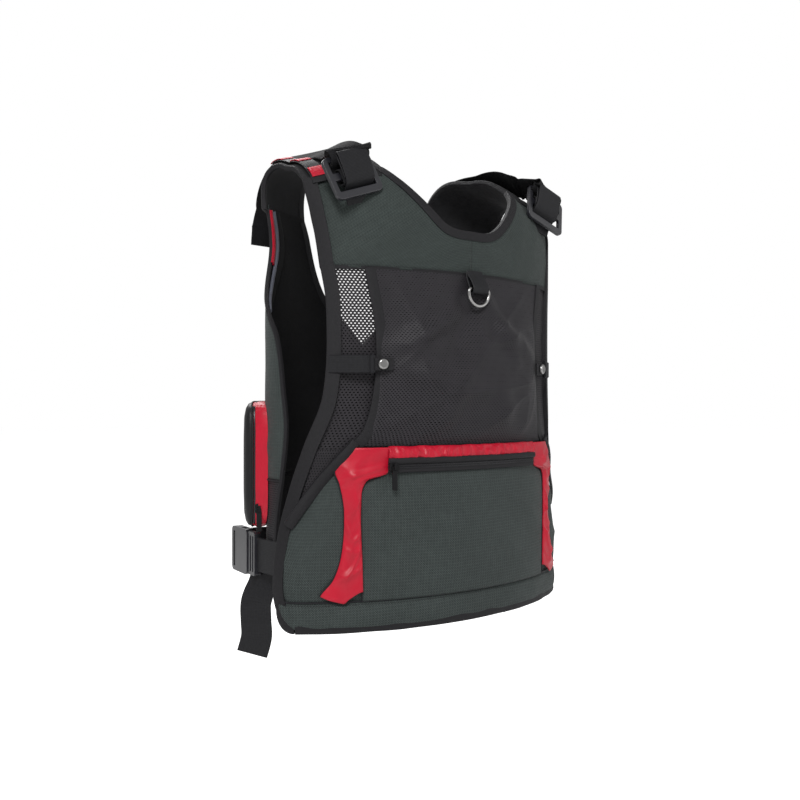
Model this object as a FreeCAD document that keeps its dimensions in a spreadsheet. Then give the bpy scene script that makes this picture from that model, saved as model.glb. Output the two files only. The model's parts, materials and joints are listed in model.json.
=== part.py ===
"""A fishing and utility vest, seen worn: back panel, shoulder straps, two front panels.

Millimetres. +Z is up, +Y is the wearer's front, +X is the wearer's right.
The origin is centred between the shoulders, level with the underside of the strap tops.
"""
import FreeCAD, Part
import Sketcher
import math
import os
from FreeCAD import Vector, Placement, Rotation, Matrix

doc = FreeCAD.newDocument("utility_vest")
sheet = doc.addObject("Spreadsheet::Sheet", "sizes")
SIDES = {"left": -1, "right": 1}

SIZES = {
    # the body form that every soft panel follows
    "half_width": 208.0, "back_depth": 100.0, "front_depth": 120.0,
    "arch_height": 86.0, "arch_slope": 0.30, "arch_level_half": 88.0, "arch_square": 0.24,
    # heights of the seams, measured from the origin
    "yoke_seam": -146.0, "red_band_top": -348.0, "red_band_bottom": -364.0,
    "lumbar_seam": -522.0, "hem_top": -546.0, "hem_bottom": -558.0,
    "neckline": -94.0, "neck_half": 50.0, "wing_top": 40.0,
    "cloth": 4.0, "tape": 2.0, "gap": 0.4,
    # shoulder strap, its band and its slide
    "pad_inner": 103.0, "pad_outer": 187.0, "pad_thickness": 8.0,
    "front_split": -60.0, "band_width": 60.0, "tail_bottom": -94.0,
    "slide_width": 66.0, "slide_height": 50.0, "slide_thickness": 5.0,
    "slide_rail": 7.0, "slide_foot": 9.0, "slide_window": 13.0, "slide_corner": 7.0,
    "slide_x": 156.0, "slide_y": -77.0, "slide_z": -43.0,
    "slide_lean": 16.0, "slide_tilt": 19.0, "slide_webbing": 50.0,
    "sleeve_width": 13.0, "sleeve_depth": 9.4, "sleeve_wall": 1.6,
    # lumbar zipper, on a level arc
    "zip_radius": 445.0, "zip_centre_y": 331.0, "zip_level": -371.0,
    "zip_width": 9.0, "zip_start": -14.9, "zip_end": 13.7,
    "slider_length": 12.0, "slider_width": 9.0, "slider_block": 2.4, "slider_corner": 3.0,
    "crown_height": 3.2, "crown_span": 7.0, "crown_wall": 1.2, "crown_thickness": 2.6,
    "pull_width": 6.0, "pull_length": 27.0, "pull_thickness": 1.2, "pull_eye": 3.4,
    # D-ring and its tab
    "ring_half": 16.0, "ring_wire": 2.0, "ring_corner": 4.5, "ring_drop": 16.0,
    "ring_y": -117.0, "ring_level": -163.0, "tab_width": 25.0,
    "loop_depth": 10.6, "loop_height": 24.0,
    # press-stud tabs over the cargo pocket's open sides
    "stud_level": -255.0, "stud_angle": 36.0, "stud_tab_width": 20.0, "stud_tab_lift": 15.4,
    "stud_tab_root": 56.0, "stud_tab_end": 32.5, "stud_radius": 6.2, "stud_height": 3.0,
    # side strap and its side-release buckle
    "side_webbing": 40.0, "side_level": -477.0, "webbing": 2.0,
    "socket_length": 50.0, "socket_height": 54.0, "socket_thickness": 11.0,
    "socket_wall": 2.4, "socket_depth": 33.0, "ladder_length": 21.0,
    "prong_length": 26.0, "prong_width": 9.0, "prong_thickness": 4.6, "prong_offset": 16.5,
    "guide_width": 5.0, "ladder_thickness": 8.0, "ladder_slot": 3.6,
    "strap_root_y": -12.4, "buckle_x": 214.0, "buckle_y": 34.0, "buckle_turn": 7.7,
    "tail_length": 96.0,
    # front pockets
    "pocket_top": -298.0, "pocket_bottom": -446.0, "pocket_rear": 103.0, "pocket_fore": 150.0,
    "pocket_depth": 17.0, "front_bottom": -496.0, "front_cloth": 3.5, "front_plumb": 0.86,
    "front_zip_length": 128.0, "front_zip_level": -370.0, "front_zip_start": 11.5,
}
for row, (alias, value) in enumerate(SIZES.items(), start=1):
    sheet.set("A%d" % row, alias)
    sheet.set("B%d" % row, repr(value))
    sheet.setAlias("B%d" % row, alias)
doc.recompute()


def size(alias):
    """The number that the sheet holds under this alias."""
    return float(sheet.get(alias))


parts = []


def soft_part(name, shape):
    """Keeps a shaped solid, or a group of like solids, as one sub-part."""
    feature = doc.addObject("Part::Feature", name)
    feature.Label = name
    feature.Shape = shape
    feature.Placement = Placement()
    parts.append(feature)
    return feature


# ---------------------------------------------------------------- the body form

def blend(low, high, share):
    return low + (high - low) * share


def outline(points):
    """A smooth run of values through (height, value) points, listed from the top down."""
    def at(height):
        if height >= points[0][0]:
            return points[0][1]
        for (upper, start), (lower, end) in zip(points, points[1:]):
            if height >= lower:
                share = (upper - height) / (upper - lower)
                return blend(start, end, (1 - math.cos(math.pi * share)) / 2 * 0.4 + share * 0.6)
        return points[-1][1]
    return at


def form_point(angle, run):
    """A point of the body form.

    angle is 0 at the centre of the back and 180 at the centre of the front.
    run is at most 0 below the shoulder arch, in mm, and above it is the arch's angle in degrees.
    """
    turn = math.radians(angle)
    across = size_half_width * math.sin(turn)
    ahead = -math.cos(turn)
    depth = size_front if ahead > 0 else size_back
    if run <= 0:
        return Vector(across, depth * ahead, run - size_arch)
    share = abs(ahead)
    reach = (size_front + size_back) / 2 * share
    middle = (size_front - size_back) / 2 * share
    rise = math.radians(run)
    high = size_arch - size_slope * max(0.0, abs(across) - size_level_half)
    if ahead > 0:
        full = front_fullness(rise)
        return Vector(across, middle + reach * math.cos(rise) * full,
                      -size_arch + high * math.sin(rise) * full)
    return Vector(across, middle - reach * math.cos(rise), -size_arch + high * math.sin(rise))


def front_fullness(rise):
    """How far the front of the arch is drawn out into a squarer bend than an ellipse."""
    return 1 + size_square * math.sin(2 * rise) ** 2


def skin(angle, run, lift):
    """A point that stands `lift` off the body form, along its outward normal."""
    point = form_point(angle, run)
    if lift == 0:
        return point
    step = 0.5
    along = form_point(angle + step, run) - form_point(angle - step, run)
    upward = form_point(angle, run + step) - form_point(angle, run - step)
    normal = along.cross(upward).normalize()
    outward = point - Vector(0, 0, min(point.z, -size_arch))
    if normal.dot(outward) < 0:
        normal = -normal
    return point + normal * lift


size_half_width = size("half_width")
size_back = size("back_depth")
size_front = size("front_depth")
size_arch = size("arch_height")
size_slope = size("arch_slope")
size_square = size("arch_square")
size_level_half = size("arch_level_half")


def patch_solid(inner, outer, across=11, up=9):
    """A closed solid between two curved sheets, each a function of two shares from 0 to 1."""
    sheets = []
    for place in (inner, outer):
        grid = [[place(i / (across - 1), j / (up - 1)) for j in range(up)] for i in range(across)]
        surface = Part.BSplineSurface()
        surface.interpolate(grid)
        sheets.append(surface)
    below, above = sheets
    u_low, u_high, v_low, v_high = below.bounds()
    edges = [(below.uIso(u), above.uIso(u)) for u in (u_low, u_high)]
    edges += [(below.vIso(v), above.vIso(v)) for v in (v_low, v_high)]
    faces = [Part.makeRuledSurface(one.toShape(), other.toShape()) for one, other in edges]
    faces += [below.toShape(), above.toShape()]
    shell = Part.makeShell(faces)
    shell.sewShape()
    solid = Part.makeSolid(shell)
    if solid.Volume < 0:
        solid.reverse()
    return solid


def panel(start, end, low, high, lift, thick, across=11, up=9):
    """A curved panel. start and end give angles at a height, low and high are its heights.

    lift and thick are numbers or functions of the two shares.
    """
    def as_function(value):
        return value if callable(value) else (lambda u, v: value)
    lift_at = as_function(lift)
    thick_at = as_function(thick)

    def place(extra):
        def at(u, v):
            height = blend(low, high, v)
            run = height + size_arch if height <= -size_arch else height
            angle = blend(start(height), end(height), u)
            return skin(angle, run, lift_at(u, v) + (thick_at(u, v) if extra else 0))
        return at
    return patch_solid(place(False), place(True), across, up)


def constant(value):
    return lambda height: value


def patch_runs(start, end, low, high, lift, thick, across=11, up=9):
    """As panel, with low and high given as runs of the form."""
    def place(extra):
        def at(u, v):
            run = blend(low, high, v)
            angle = blend(start(run), end(run), u)
            off = lift(u, v) if callable(lift) else lift
            return skin(angle, run, off + (thick if extra else 0))
        return at
    return patch_solid(place(False), place(True), across, up)


def angle_of(across):
    """The form angle of a point this far from the middle."""
    return math.degrees(math.asin(across / size_half_width))


def prism(points, closed_curve=False):
    """A prism along Y through the whole vest, over an outline of (x, z) points."""
    deep = 400.0
    corners = [Vector(x, -deep, z) for x, z in points]
    if closed_curve:
        curve = Part.BSplineCurve()
        curve.interpolate(corners)
        edges = [curve.toShape(), Part.LineSegment(corners[-1], corners[0]).toShape()]
        wire = Part.Wire(edges)
    else:
        wire = Part.makePolygon(corners + corners[:1])
    return Part.Face(wire).extrude(Vector(0, 2 * deep, 0))


# ---------------------------------------------------------------- back panel and yoke

cloth = size("cloth")
tape = size("tape")
gap = size("gap")
BACK_EDGE = outline([(-134, 60.5), (-190, 57), (-290, 58.5), (-350, 68),
                     (-400, 76), (-450, 81.5), (-512, 83), (-558, 71)])
YOKE_EDGE = outline([(40, 65), (0, 65), (-60, 60.5)])


def build_back():
    seam = size("yoke_seam")
    soft_part("back_panel", panel(lambda z: -BACK_EDGE(z), BACK_EDGE, size("hem_bottom"),
                                  seam - gap, 0, cloth, across=17, up=13))
    # the yoke's runs are below 0 on the back and above 0 on the shoulder arch
    yoke = patch_runs(lambda run: -YOKE_EDGE(run), YOKE_EDGE, seam + size_arch, size("wing_top"),
                      0, cloth, across=17, up=11)
    inner = neck_outline(0)
    soft_part("back_yoke", yoke.cut(prism(inner, True)))
    facing = patch_runs(lambda run: -YOKE_EDGE(run), YOKE_EDGE, seam + size_arch,
                        size("wing_top"), cloth + gap, tape, across=17, up=11)
    ring = prism(neck_outline(11), True).cut(prism(inner, True))
    soft_part("neck_binding", facing.common(ring))


def neck_outline(grow):
    """The neckline's U, open at the top, widened by `grow`."""
    low = size("neckline") - grow
    half = size("neck_half") + grow
    right = [(0, low), (half * 0.62, low + 2), (half, low + 15), (half + 24, low + 44),
             (half + 38, low + 78), (half + 42, low + 130)]
    left = [(-x, z) for x, z in reversed(right[1:])]
    return left + right


def build_bindings():
    wide = 4.0
    for side, sign in SIDES.items():
        def outer(run, sign=sign):
            height = run - size_arch
            edge = YOKE_EDGE(run) if run > -60 else BACK_EDGE(height)
            return sign * edge

        def inner(run, sign=sign):
            return outer(run, sign) - sign * wide
        strip = patch_runs(inner, outer, -300.0, size("wing_top"), cloth + gap, tape, 3, 25)
        soft_part(side + "_armhole_binding", strip)
    soft_part("hem_binding", panel(constant(-70), constant(70), size("hem_bottom"),
                                   size("hem_top") - gap, cloth + gap, tape, 21, 3))
    soft_part("hem_panel", panel(constant(-72), constant(72), size("hem_top"),
                                 size("lumbar_seam") - gap, cloth + gap, 5.0, 21, 3))


# ---------------------------------------------------------------- cargo pocket

CARGO_EDGE = outline([(-146, 41.5), (-216, 37.5), (-280, 38), (-329, 42), (-348, 48)])


def cargo_lift(u, v):
    """The mesh pocket stands off the back, most of all in the middle and low down."""
    down = 1 - v
    bulge = math.sin(math.pi * min(1.0, down ** 1.6)) if down > 0 else 0.0
    return cloth + 1.0 + (1.5 + 20.5 * math.sin(math.pi * u)) * max(0.0, bulge)


def build_cargo():
    seam = size("yoke_seam") - gap
    low = size("red_band_top") + gap
    soft_part("cargo_pocket", panel(lambda z: -CARGO_EDGE(z), CARGO_EDGE, low, seam,
                                    cargo_lift, tape, 17, 13))
    wide = 3.4
    strips = []
    for sign in SIDES.values():
        def lift(u, v, sign=sign):
            # the same share of the pocket's width that the strip covers
            half = CARGO_EDGE(blend(low, seam, v))
            share = 0.5 + sign * blend(half - wide, half, u) / (2 * half)
            return cargo_lift(share, v) + tape + 1.0
        strips.append(panel(lambda z, s=sign: s * (CARGO_EDGE(z) - wide),
                            lambda z, s=sign: s * CARGO_EDGE(z), low, seam, lift, 1.4, 3, 13))
    soft_part("cargo_edge_tapes", Part.makeCompound(strips))


# ---------------------------------------------------------------- lumbar pocket

def build_lumbar():
    seam = size("lumbar_seam")
    frame = panel(constant(-53.5), constant(53.5), seam, size("red_band_top"),
                  cloth + gap, lambda u, v: 7.0, 17, 5)
    window_half = 141.0
    hole = [(-window_half, seam - 40), (window_half, seam - 40),
            (window_half, size("red_band_bottom")), (-window_half, size("red_band_bottom"))]
    soft_part("lumbar_gusset", frame.cut(prism(hole)))

    def bulge(u, v):
        return 6.0 + 4.5 * math.sin(math.pi * u) ** 0.5 * math.sin(math.pi * v) ** 0.5
    # the face leans outwards at its ends, so it is cut in by more than the gap
    face_edge = angle_of(window_half - 6.0)
    soft_part("lumbar_pocket_face", panel(constant(-face_edge), constant(face_edge), seam,
                                          size("zip_level") - 7.5, cloth + gap, bulge, 17, 7))
    for side, sign in SIDES.items():
        def wing_lift(u, v):
            return 2.5 + 5.0 * math.sin(math.pi * u) * math.sin(math.pi * v)
        soft_part(side + "_lumbar_wing", panel(lambda z, s=sign: s * 54.5,
                                               lambda z, s=sign: s * BACK_EDGE(z), seam, -390.0,
                                               cloth + gap, wing_lift, 7, 7))
    build_zip_chain()


def build_zip_chain():
    """The zipper's tapes and coils: a strip on a level arc, a little longer than its travel."""
    low = size("zip_level") - size("zip_width") / 2
    first = size("zip_start") - 0.8
    last = size("zip_end") + 0.8

    def on_arc(radius, degrees):
        turn = math.radians(degrees)
        return Vector(radius * math.sin(turn), size("zip_centre_y") - radius * math.cos(turn), low)
    outer = size("zip_radius")
    inner = outer - 3.0
    arcs = [Part.Arc(on_arc(radius, first), on_arc(radius, (first + last) / 2),
                     on_arc(radius, last)).toShape() for radius in (outer, inner)]
    ends = [Part.LineSegment(on_arc(inner, degrees), on_arc(outer, degrees)).toShape()
            for degrees in (first, last)]
    face = Part.Face(Part.Wire(Part.__sortEdges__(arcs + ends)))
    soft_part("lumbar_zip_chain", face.extrude(Vector(0, 0, size("zip_width"))))


# ---------------------------------------------------------------- shoulder straps

def shoulder_patch(inner, outer, first, last, lift, thick, across=7, up=15):
    """A strip over one shoulder, from run `first` on the back to run `last` on the front.

    inner and outer give its edges as distances from the middle, signed, at a share of the way.
    The runs may be functions of the distance.
    """
    def place(extra):
        def at(u, v):
            across_at = blend(inner(v), outer(v), u)
            turn = angle_of(abs(across_at))
            begin = first(abs(across_at)) if callable(first) else first
            finish = last(abs(across_at)) if callable(last) else last
            run = blend(begin, 180 - finish, v)
            lifted = (lift(u, v) if callable(lift) else lift) + (thick if extra else 0)
            if run <= 90:
                angle = math.copysign(turn, across_at)
            else:
                angle = math.copysign(180 - turn, across_at)
                run = 180 - run
            return skin(angle, run, lifted)
        return at
    return patch_solid(place(False), place(True), across, up)


def run_at_height(across, height):
    """The arch run, in degrees, where the form's front is at this height."""
    high = size_arch - size_slope * max(0.0, across - size_level_half)
    rise = 0.0
    for _ in range(8):
        rise = math.asin((height + size_arch) / (high * front_fullness(rise)))
    return math.degrees(rise)


def build_shoulders():
    split = size("front_split")
    pad = size("pad_thickness")
    inner_x = size("pad_inner")
    outer_x = size("pad_outer")
    half_band = size("band_width") / 2
    for side, sign in SIDES.items():
        def edge(value, sign=sign):
            return lambda v: sign * value

        def finish(across):
            return run_at_height(across, split + 0.5)
        soft_part(side + "_shoulder_pad",
                  shoulder_patch(edge(inner_x), edge(outer_x), size("wing_top") + 1.0, finish,
                                 0, pad))
        soft_part(side + "_daisy_chain",
                  shoulder_patch(edge(outer_x - 21), edge(outer_x - 5), 46.0, 62.0,
                                 pad + gap, 1.6, 3, 15))

        def band_middle(v, sign=sign):
            return sign * (size("slide_x") - 17)
        soft_part(side + "_shoulder_band",
                  shoulder_patch(lambda v: band_middle(v) - sign * half_band * 0.92,
                                 lambda v: band_middle(v) + sign * half_band * 0.62, 66.0, finish,
                                 pad + gap, tape, 5, 15))


# ---------------------------------------------------------------- sketches and small hardware

def body_of(name):
    body = doc.addObject("PartDesign::Body", name)
    body.Label = name
    return body


def plane(body, role):
    for item in body.Origin.OriginFeatures:
        if item.Role == role:
            return item
    raise ValueError("no plane " + role)


def sketch_on(body, name, role="XY_Plane", height=None):
    sketch = body.newObject("Sketcher::SketchObject", name)
    sketch.AttachmentSupport = (plane(body, role), [""])
    sketch.MapMode = "FlatFace"
    if height is not None:
        sketch.setExpression("AttachmentOffset.Base.z", height)
    return sketch


def bound(sketch, constraint, expression):
    index = sketch.addConstraint(constraint)
    sketch.setExpression("Constraints[%d]" % index, expression)


def rectangle(sketch, width, height, x="0", y="0"):
    """A rectangle whose size and middle are expressions of the sheet."""
    first = sketch.GeometryCount
    corners = [Vector(-1, -1, 0), Vector(1, -1, 0), Vector(1, 1, 0), Vector(-1, 1, 0)]
    for start, end in zip(corners, corners[1:] + corners[:1]):
        sketch.addGeometry(Part.LineSegment(start, end), False)
    for step in range(4):
        sketch.addConstraint(Sketcher.Constraint("Coincident", first + step, 2,
                                                 first + (step + 1) % 4, 1))
    for step in (0, 2):
        sketch.addConstraint(Sketcher.Constraint("Horizontal", first + step))
        sketch.addConstraint(Sketcher.Constraint("Vertical", first + step + 1))
    bound(sketch, Sketcher.Constraint("DistanceX", first, 1, first, 2, 2.0), width)
    bound(sketch, Sketcher.Constraint("DistanceY", first + 1, 1, first + 1, 2, 2.0), height)
    bound(sketch, Sketcher.Constraint("DistanceX", -1, 1, first, 1, -1.0),
          "(%s) - (%s) / 2" % (x, width))
    bound(sketch, Sketcher.Constraint("DistanceY", -1, 1, first, 1, -1.0),
          "(%s) - (%s) / 2" % (y, height))


def circle(sketch, radius, x="0", y="0"):
    index = sketch.addGeometry(Part.Circle(Vector(0.1, 0.1, 0), Vector(0, 0, 1), 1.0), False)
    bound(sketch, Sketcher.Constraint("Radius", index, 1.0), radius)
    bound(sketch, Sketcher.Constraint("DistanceX", -1, 1, index, 3, 0.1), x)
    bound(sketch, Sketcher.Constraint("DistanceY", -1, 1, index, 3, 0.1), y)


def pad(body, sketch, name, length, middle=False, reverse=False):
    feature = body.newObject("PartDesign::Pad", name)
    feature.Profile = sketch
    feature.setExpression("Length", length)
    feature.Midplane = middle
    feature.Reversed = reverse
    return feature


def pocket(body, sketch, name, length, middle=False, reverse=False):
    feature = body.newObject("PartDesign::Pocket", name)
    feature.Profile = sketch
    feature.setExpression("Length", length)
    feature.Midplane = middle
    feature.Reversed = reverse
    return feature


def round_edges(body, base, name, radius, wanted=None):
    """Rounds the edges for which wanted(edge) is true, or every edge."""
    doc.recompute()
    edges = ["Edge%d" % (i + 1) for i, edge in enumerate(base.Shape.Edges)
             if wanted is None or wanted(edge)]
    feature = body.newObject("PartDesign::Fillet", name)
    feature.Base = (base, edges)
    feature.Radius = radius
    doc.recompute()
    return feature


def upright(edge):
    """True of an edge that runs along the body's own Z."""
    start, end = edge.Vertexes[0].Point, edge.Vertexes[-1].Point
    return abs(start.x - end.x) < 1e-6 and abs(start.y - end.y) < 1e-6 and edge.Length > 1e-6


def frame_at(origin, along, out):
    """A placement whose X runs along `along` and whose Z points along `out`."""
    x_axis = Vector(along).normalize()
    z_axis = Vector(out) - x_axis * x_axis.dot(Vector(out))
    z_axis.normalize()
    y_axis = z_axis.cross(x_axis)
    turn = Matrix(x_axis.x, y_axis.x, z_axis.x, origin.x,
                  x_axis.y, y_axis.y, z_axis.y, origin.y,
                  x_axis.z, y_axis.z, z_axis.z, origin.z, 0, 0, 0, 1)
    return Placement(turn)


def slide_frame(sign):
    """Where a shoulder slide sits: X along its bars, Y up the strap, Z away from the shoulder."""
    lean = math.radians(size("slide_lean"))
    tilt = math.radians(size("slide_tilt"))
    along = Vector(math.cos(tilt), 0, -sign * math.sin(tilt))
    out = Vector(0, -math.cos(lean), math.sin(lean))
    origin = Vector(sign * size("slide_x"), size("slide_y"), size("slide_z"))
    return frame_at(origin, along, out)


def build_slide(side, sign):
    """A three-bar slide: a rounded frame with two windows, and the thick plain bar lowest."""
    body = body_of(side + "_shoulder_slide")
    plate = sketch_on(body, side + "_slide_plate")
    rectangle(plate, "sizes.slide_width", "sizes.slide_height")
    block = pad(body, plate, side + "_slide_block", "sizes.slide_thickness", middle=True)
    round_edges(body, block, side + "_slide_corners", size("slide_corner"), upright)
    cuts = sketch_on(body, side + "_slide_windows")
    inside = "sizes.slide_width - 2 * sizes.slide_rail"
    rectangle(cuts, inside, "sizes.slide_window", "0",
              "-sizes.slide_height / 2 + sizes.slide_foot + sizes.slide_window / 2")
    rectangle(cuts, inside, "sizes.slide_window", "0",
              "sizes.slide_height / 2 - sizes.slide_rail + 1 - sizes.slide_window / 2")
    pierced = pocket(body, cuts, side + "_slide_pierced", "sizes.slide_thickness * 2", middle=True)
    round_edges(body, pierced, side + "_slide_soft_edges", 0.9)
    body.Placement = slide_frame(sign)
    parts.append(body)


def build_slide_webbing(side, sign):
    """The yoke's webbing: a flat sleeve round the slide's middle bar."""
    body = body_of(side + "_slide_webbing")
    ring = sketch_on(body, side + "_sleeve_outline", "YZ_Plane")
    # the middle bar lies between the two windows
    middle = "(sizes.slide_foot - sizes.slide_rail + 1) / 2"
    rectangle(ring, "sizes.sleeve_width", "sizes.sleeve_depth", middle)
    rectangle(ring, "sizes.sleeve_width - 2 * sizes.sleeve_wall",
              "sizes.sleeve_depth - 2 * sizes.sleeve_wall", middle)
    sleeve = pad(body, ring, side + "_sleeve", "sizes.slide_webbing - 4", middle=True)
    round_edges(body, sleeve, side + "_sleeve_soft", 0.7,
                lambda edge: edge.Length > 30 and edge.BoundBox.YLength < 0.01)
    body.Placement = slide_frame(sign)
    parts.append(body)


def build_ring():
    """The D-ring's wire, round a D with its straight bar at the top, and its webbing tab."""
    half = size("ring_half")
    corner = size("ring_corner")
    level = size("ring_level")
    back = size("ring_y")

    def at(x, z):
        return Vector(x, back, level + z)
    diagonal = corner * (1 - math.sqrt(0.5))
    drop = -corner
    edges = [
        Part.LineSegment(at(-half + corner, 0), at(half - corner, 0)).toShape(),
        Part.Arc(at(half - corner, 0), at(half - diagonal, -diagonal), at(half, drop)).toShape(),
        Part.Arc(at(half, drop), at(0, drop - size("ring_drop")), at(-half, drop)).toShape(),
        Part.Arc(at(-half, drop), at(-half + diagonal, -diagonal), at(-half + corner, 0)).toShape(),
    ]
    path = Part.Wire(edges)
    section = Part.Wire(Part.makeCircle(size("ring_wire"), at(-half + corner, 0), Vector(1, 0, 0)))
    ring = path.makePipeShell([section], True, True)
    soft_part("d_ring", ring)

    body = body_of("d_ring_tab")
    profile = sketch_on(body, "tab_profile", "YZ_Plane")
    # the loop holds the ring's straight bar, and the root above it is sewn into the yoke's seam
    rectangle(profile, "sizes.loop_depth", "sizes.loop_height", "1.4", "sizes.loop_height / 2 - 5")
    circle(profile, "sizes.ring_wire + 0.35")
    pad(body, profile, "tab_loop", "sizes.tab_width - 3.6", middle=True)
    root = sketch_on(body, "tab_root_profile", "YZ_Plane")
    rectangle(root, "sizes.loop_depth + 4", "6.0", "3.4", "sizes.loop_height - 2.5")
    pad(body, root, "tab_root", "sizes.tab_width - 3.6", middle=True)
    body.Placement = Placement(Vector(0, back, level), Rotation())
    parts.append(body)


def build_studs():
    """A webbing tab with a domed cap on each side, and the studs on the cargo pocket."""
    level = size("stud_level")
    half = size("stud_tab_width") / 2
    stud_angle = size("stud_angle")
    tab_lift = size("stud_tab_lift")
    studs = []
    for side, sign in SIDES.items():
        def lift(u, v):
            return blend(cloth + 3.2, tab_lift, min(1.0, u / 0.6))
        tab = panel(constant(sign * size("stud_tab_root")), constant(sign * size("stud_tab_end")),
                    level - half, level + half, lift, tape, 9, 3)
        soft_part(side + "_snap_tab", tab)
        run = level + size_arch
        base = skin(sign * stud_angle, run, tab_lift + tape + 2 * gap)
        out = skin(sign * stud_angle, run, tab_lift + 10) - base
        cap = body_of(side + "_snap_cap")
        disc = sketch_on(cap, side + "_cap_disc")
        circle(disc, "sizes.stud_radius")
        blank = pad(cap, disc, side + "_cap_blank", "sizes.stud_height")
        round_edges(cap, blank, side + "_cap_dome", size("stud_height") * 0.8,
                    lambda edge: edge.CenterOfMass.z > 1 and edge.Closed)
        cap.Placement = frame_at(base, Vector(0, 0, 1), out)
        parts.append(cap)
        foot = skin(sign * stud_angle, run, tab_lift - 1.2)
        studs.append(Part.makeCylinder(4.0, 0.8, foot, out))
    soft_part("snap_studs", Part.makeCompound(studs))


def build_zip_slider(name, place, crown_plane):
    """A slider: a rounded block under a crown that the pull's end bar swings in.

    Z is away from the zipper and X runs along it. The crown spans Y when it is drawn on the
    YZ plane, and X when it is drawn on the XZ plane.
    """
    body = body_of(name)
    base = sketch_on(body, name + "_base")
    rectangle(base, "sizes.slider_length", "sizes.slider_width")
    block = pad(body, base, name + "_block", "sizes.slider_block")
    round_edges(body, block, name + "_corners", size("slider_corner"), upright)
    crown = sketch_on(body, name + "_crown_outline", crown_plane)
    rectangle(crown, "sizes.crown_span", "sizes.crown_height", "0",
              "sizes.slider_block + sizes.crown_height / 2 - 0.2")
    rectangle(crown, "sizes.crown_span - 2 * sizes.crown_wall",
              "sizes.crown_height - sizes.crown_wall", "0",
              "sizes.slider_block + (sizes.crown_height - sizes.crown_wall) / 2")
    pad(body, crown, name + "_crown", "sizes.crown_thickness", middle=True)
    body.Placement = place
    parts.append(body)


def build_zip_pull(name, place):
    """A flat pull tag. Its end bar is at the origin, along X, and it hangs along -Y."""
    body = body_of(name)
    tag = sketch_on(body, name + "_tag")
    rectangle(tag, "sizes.pull_width", "sizes.pull_length", "0", "0.6 - sizes.pull_length / 2")
    rectangle(tag, "sizes.pull_width - 2.4", "sizes.pull_eye", "0",
              "-0.6 - sizes.pull_eye / 2")
    plate = pad(body, tag, name + "_plate", "sizes.pull_thickness", middle=True)
    round_edges(body, plate, name + "_ends", 1.4,
                lambda edge: upright(edge) and edge.Vertexes[0].Point.y < -10)
    body.Placement = place
    parts.append(body)


def build_lumbar_zip():
    radius = size("zip_radius")
    angle = math.radians(size("zip_start"))
    centre = Vector(0, size("zip_centre_y"), size("zip_level"))
    out = Vector(math.sin(angle), -math.cos(angle), 0)
    along = Vector(math.cos(angle), math.sin(angle), 0)
    foot = centre + out * (radius + 0.3)
    build_zip_slider("lumbar_zip_slider", frame_at(foot, along, out), "YZ_Plane")
    build_zip_pull("lumbar_zip_pull", pull_frame(foot + out * eye_height(), out))


def eye_height():
    """How far the pull's end bar stands off the zipper."""
    return size("slider_block") + 1.0


def pull_frame(eye, out):
    """A pull that hangs straight down, its flat face towards `out`, its eye at `eye`."""
    along = Vector(0, 0, 1).cross(out)
    return frame_at(eye, along, out)


# ---------------------------------------------------------------- front panels

FRONT_REAR = outline([(-60, 118), (-110, 122), (-160, 112), (-194, 98), (-225, 87), (-290, 81),
                      (-330, 79), (-380, 82), (-430, 87), (-492, 90)])
FRONT_OPEN = outline([(-60, 150), (-150, 160), (-222, 179.3), (-492, 179.3)])


def build_front(side, sign):
    bottom = size("front_bottom")
    split = size("front_split")

    def front_place(extra):
        def at(u, v):
            # the lower share of the panel is plumb, and the rest bends over the arch
            plumb = size("front_plumb")
            if v <= plumb:
                height = blend(bottom, -size_arch, v / plumb)
                run = height + size_arch
            else:
                height = blend(-size_arch, split - 0.5, (v - plumb) / (1 - plumb))
                run = None
            angle = sign * blend(FRONT_REAR(height), FRONT_OPEN(height), u)
            if run is None:
                across = size_half_width * abs(math.sin(math.radians(angle)))
                run = run_at_height(across, height)
            return skin(angle, run, size("front_cloth") if extra else 0)
        return at
    soft_part(side + "_front_panel", patch_solid(front_place(False), front_place(True), 13, 25))

    def tail_place(extra):
        def at(u, v):
            height = blend(size("tail_bottom") + 9 * (1 - u), split - 0.5, v)
            middle = size("slide_x") - 17
            half = size("band_width") / 2
            across = blend(middle - 0.92 * half, middle + 0.62 * half, u)
            angle = sign * (180 - angle_of(across))
            run = run_at_height(across, height) if height > -size_arch else height + size_arch
            return skin(angle, run, 8.0 + gap + (tape if extra else 0))
        return at
    soft_part(side + "_band_tail", patch_solid(tail_place(False), tail_place(True), 5, 7))
    build_front_pocket(side, sign)
    build_side_strap(side, sign)


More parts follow.
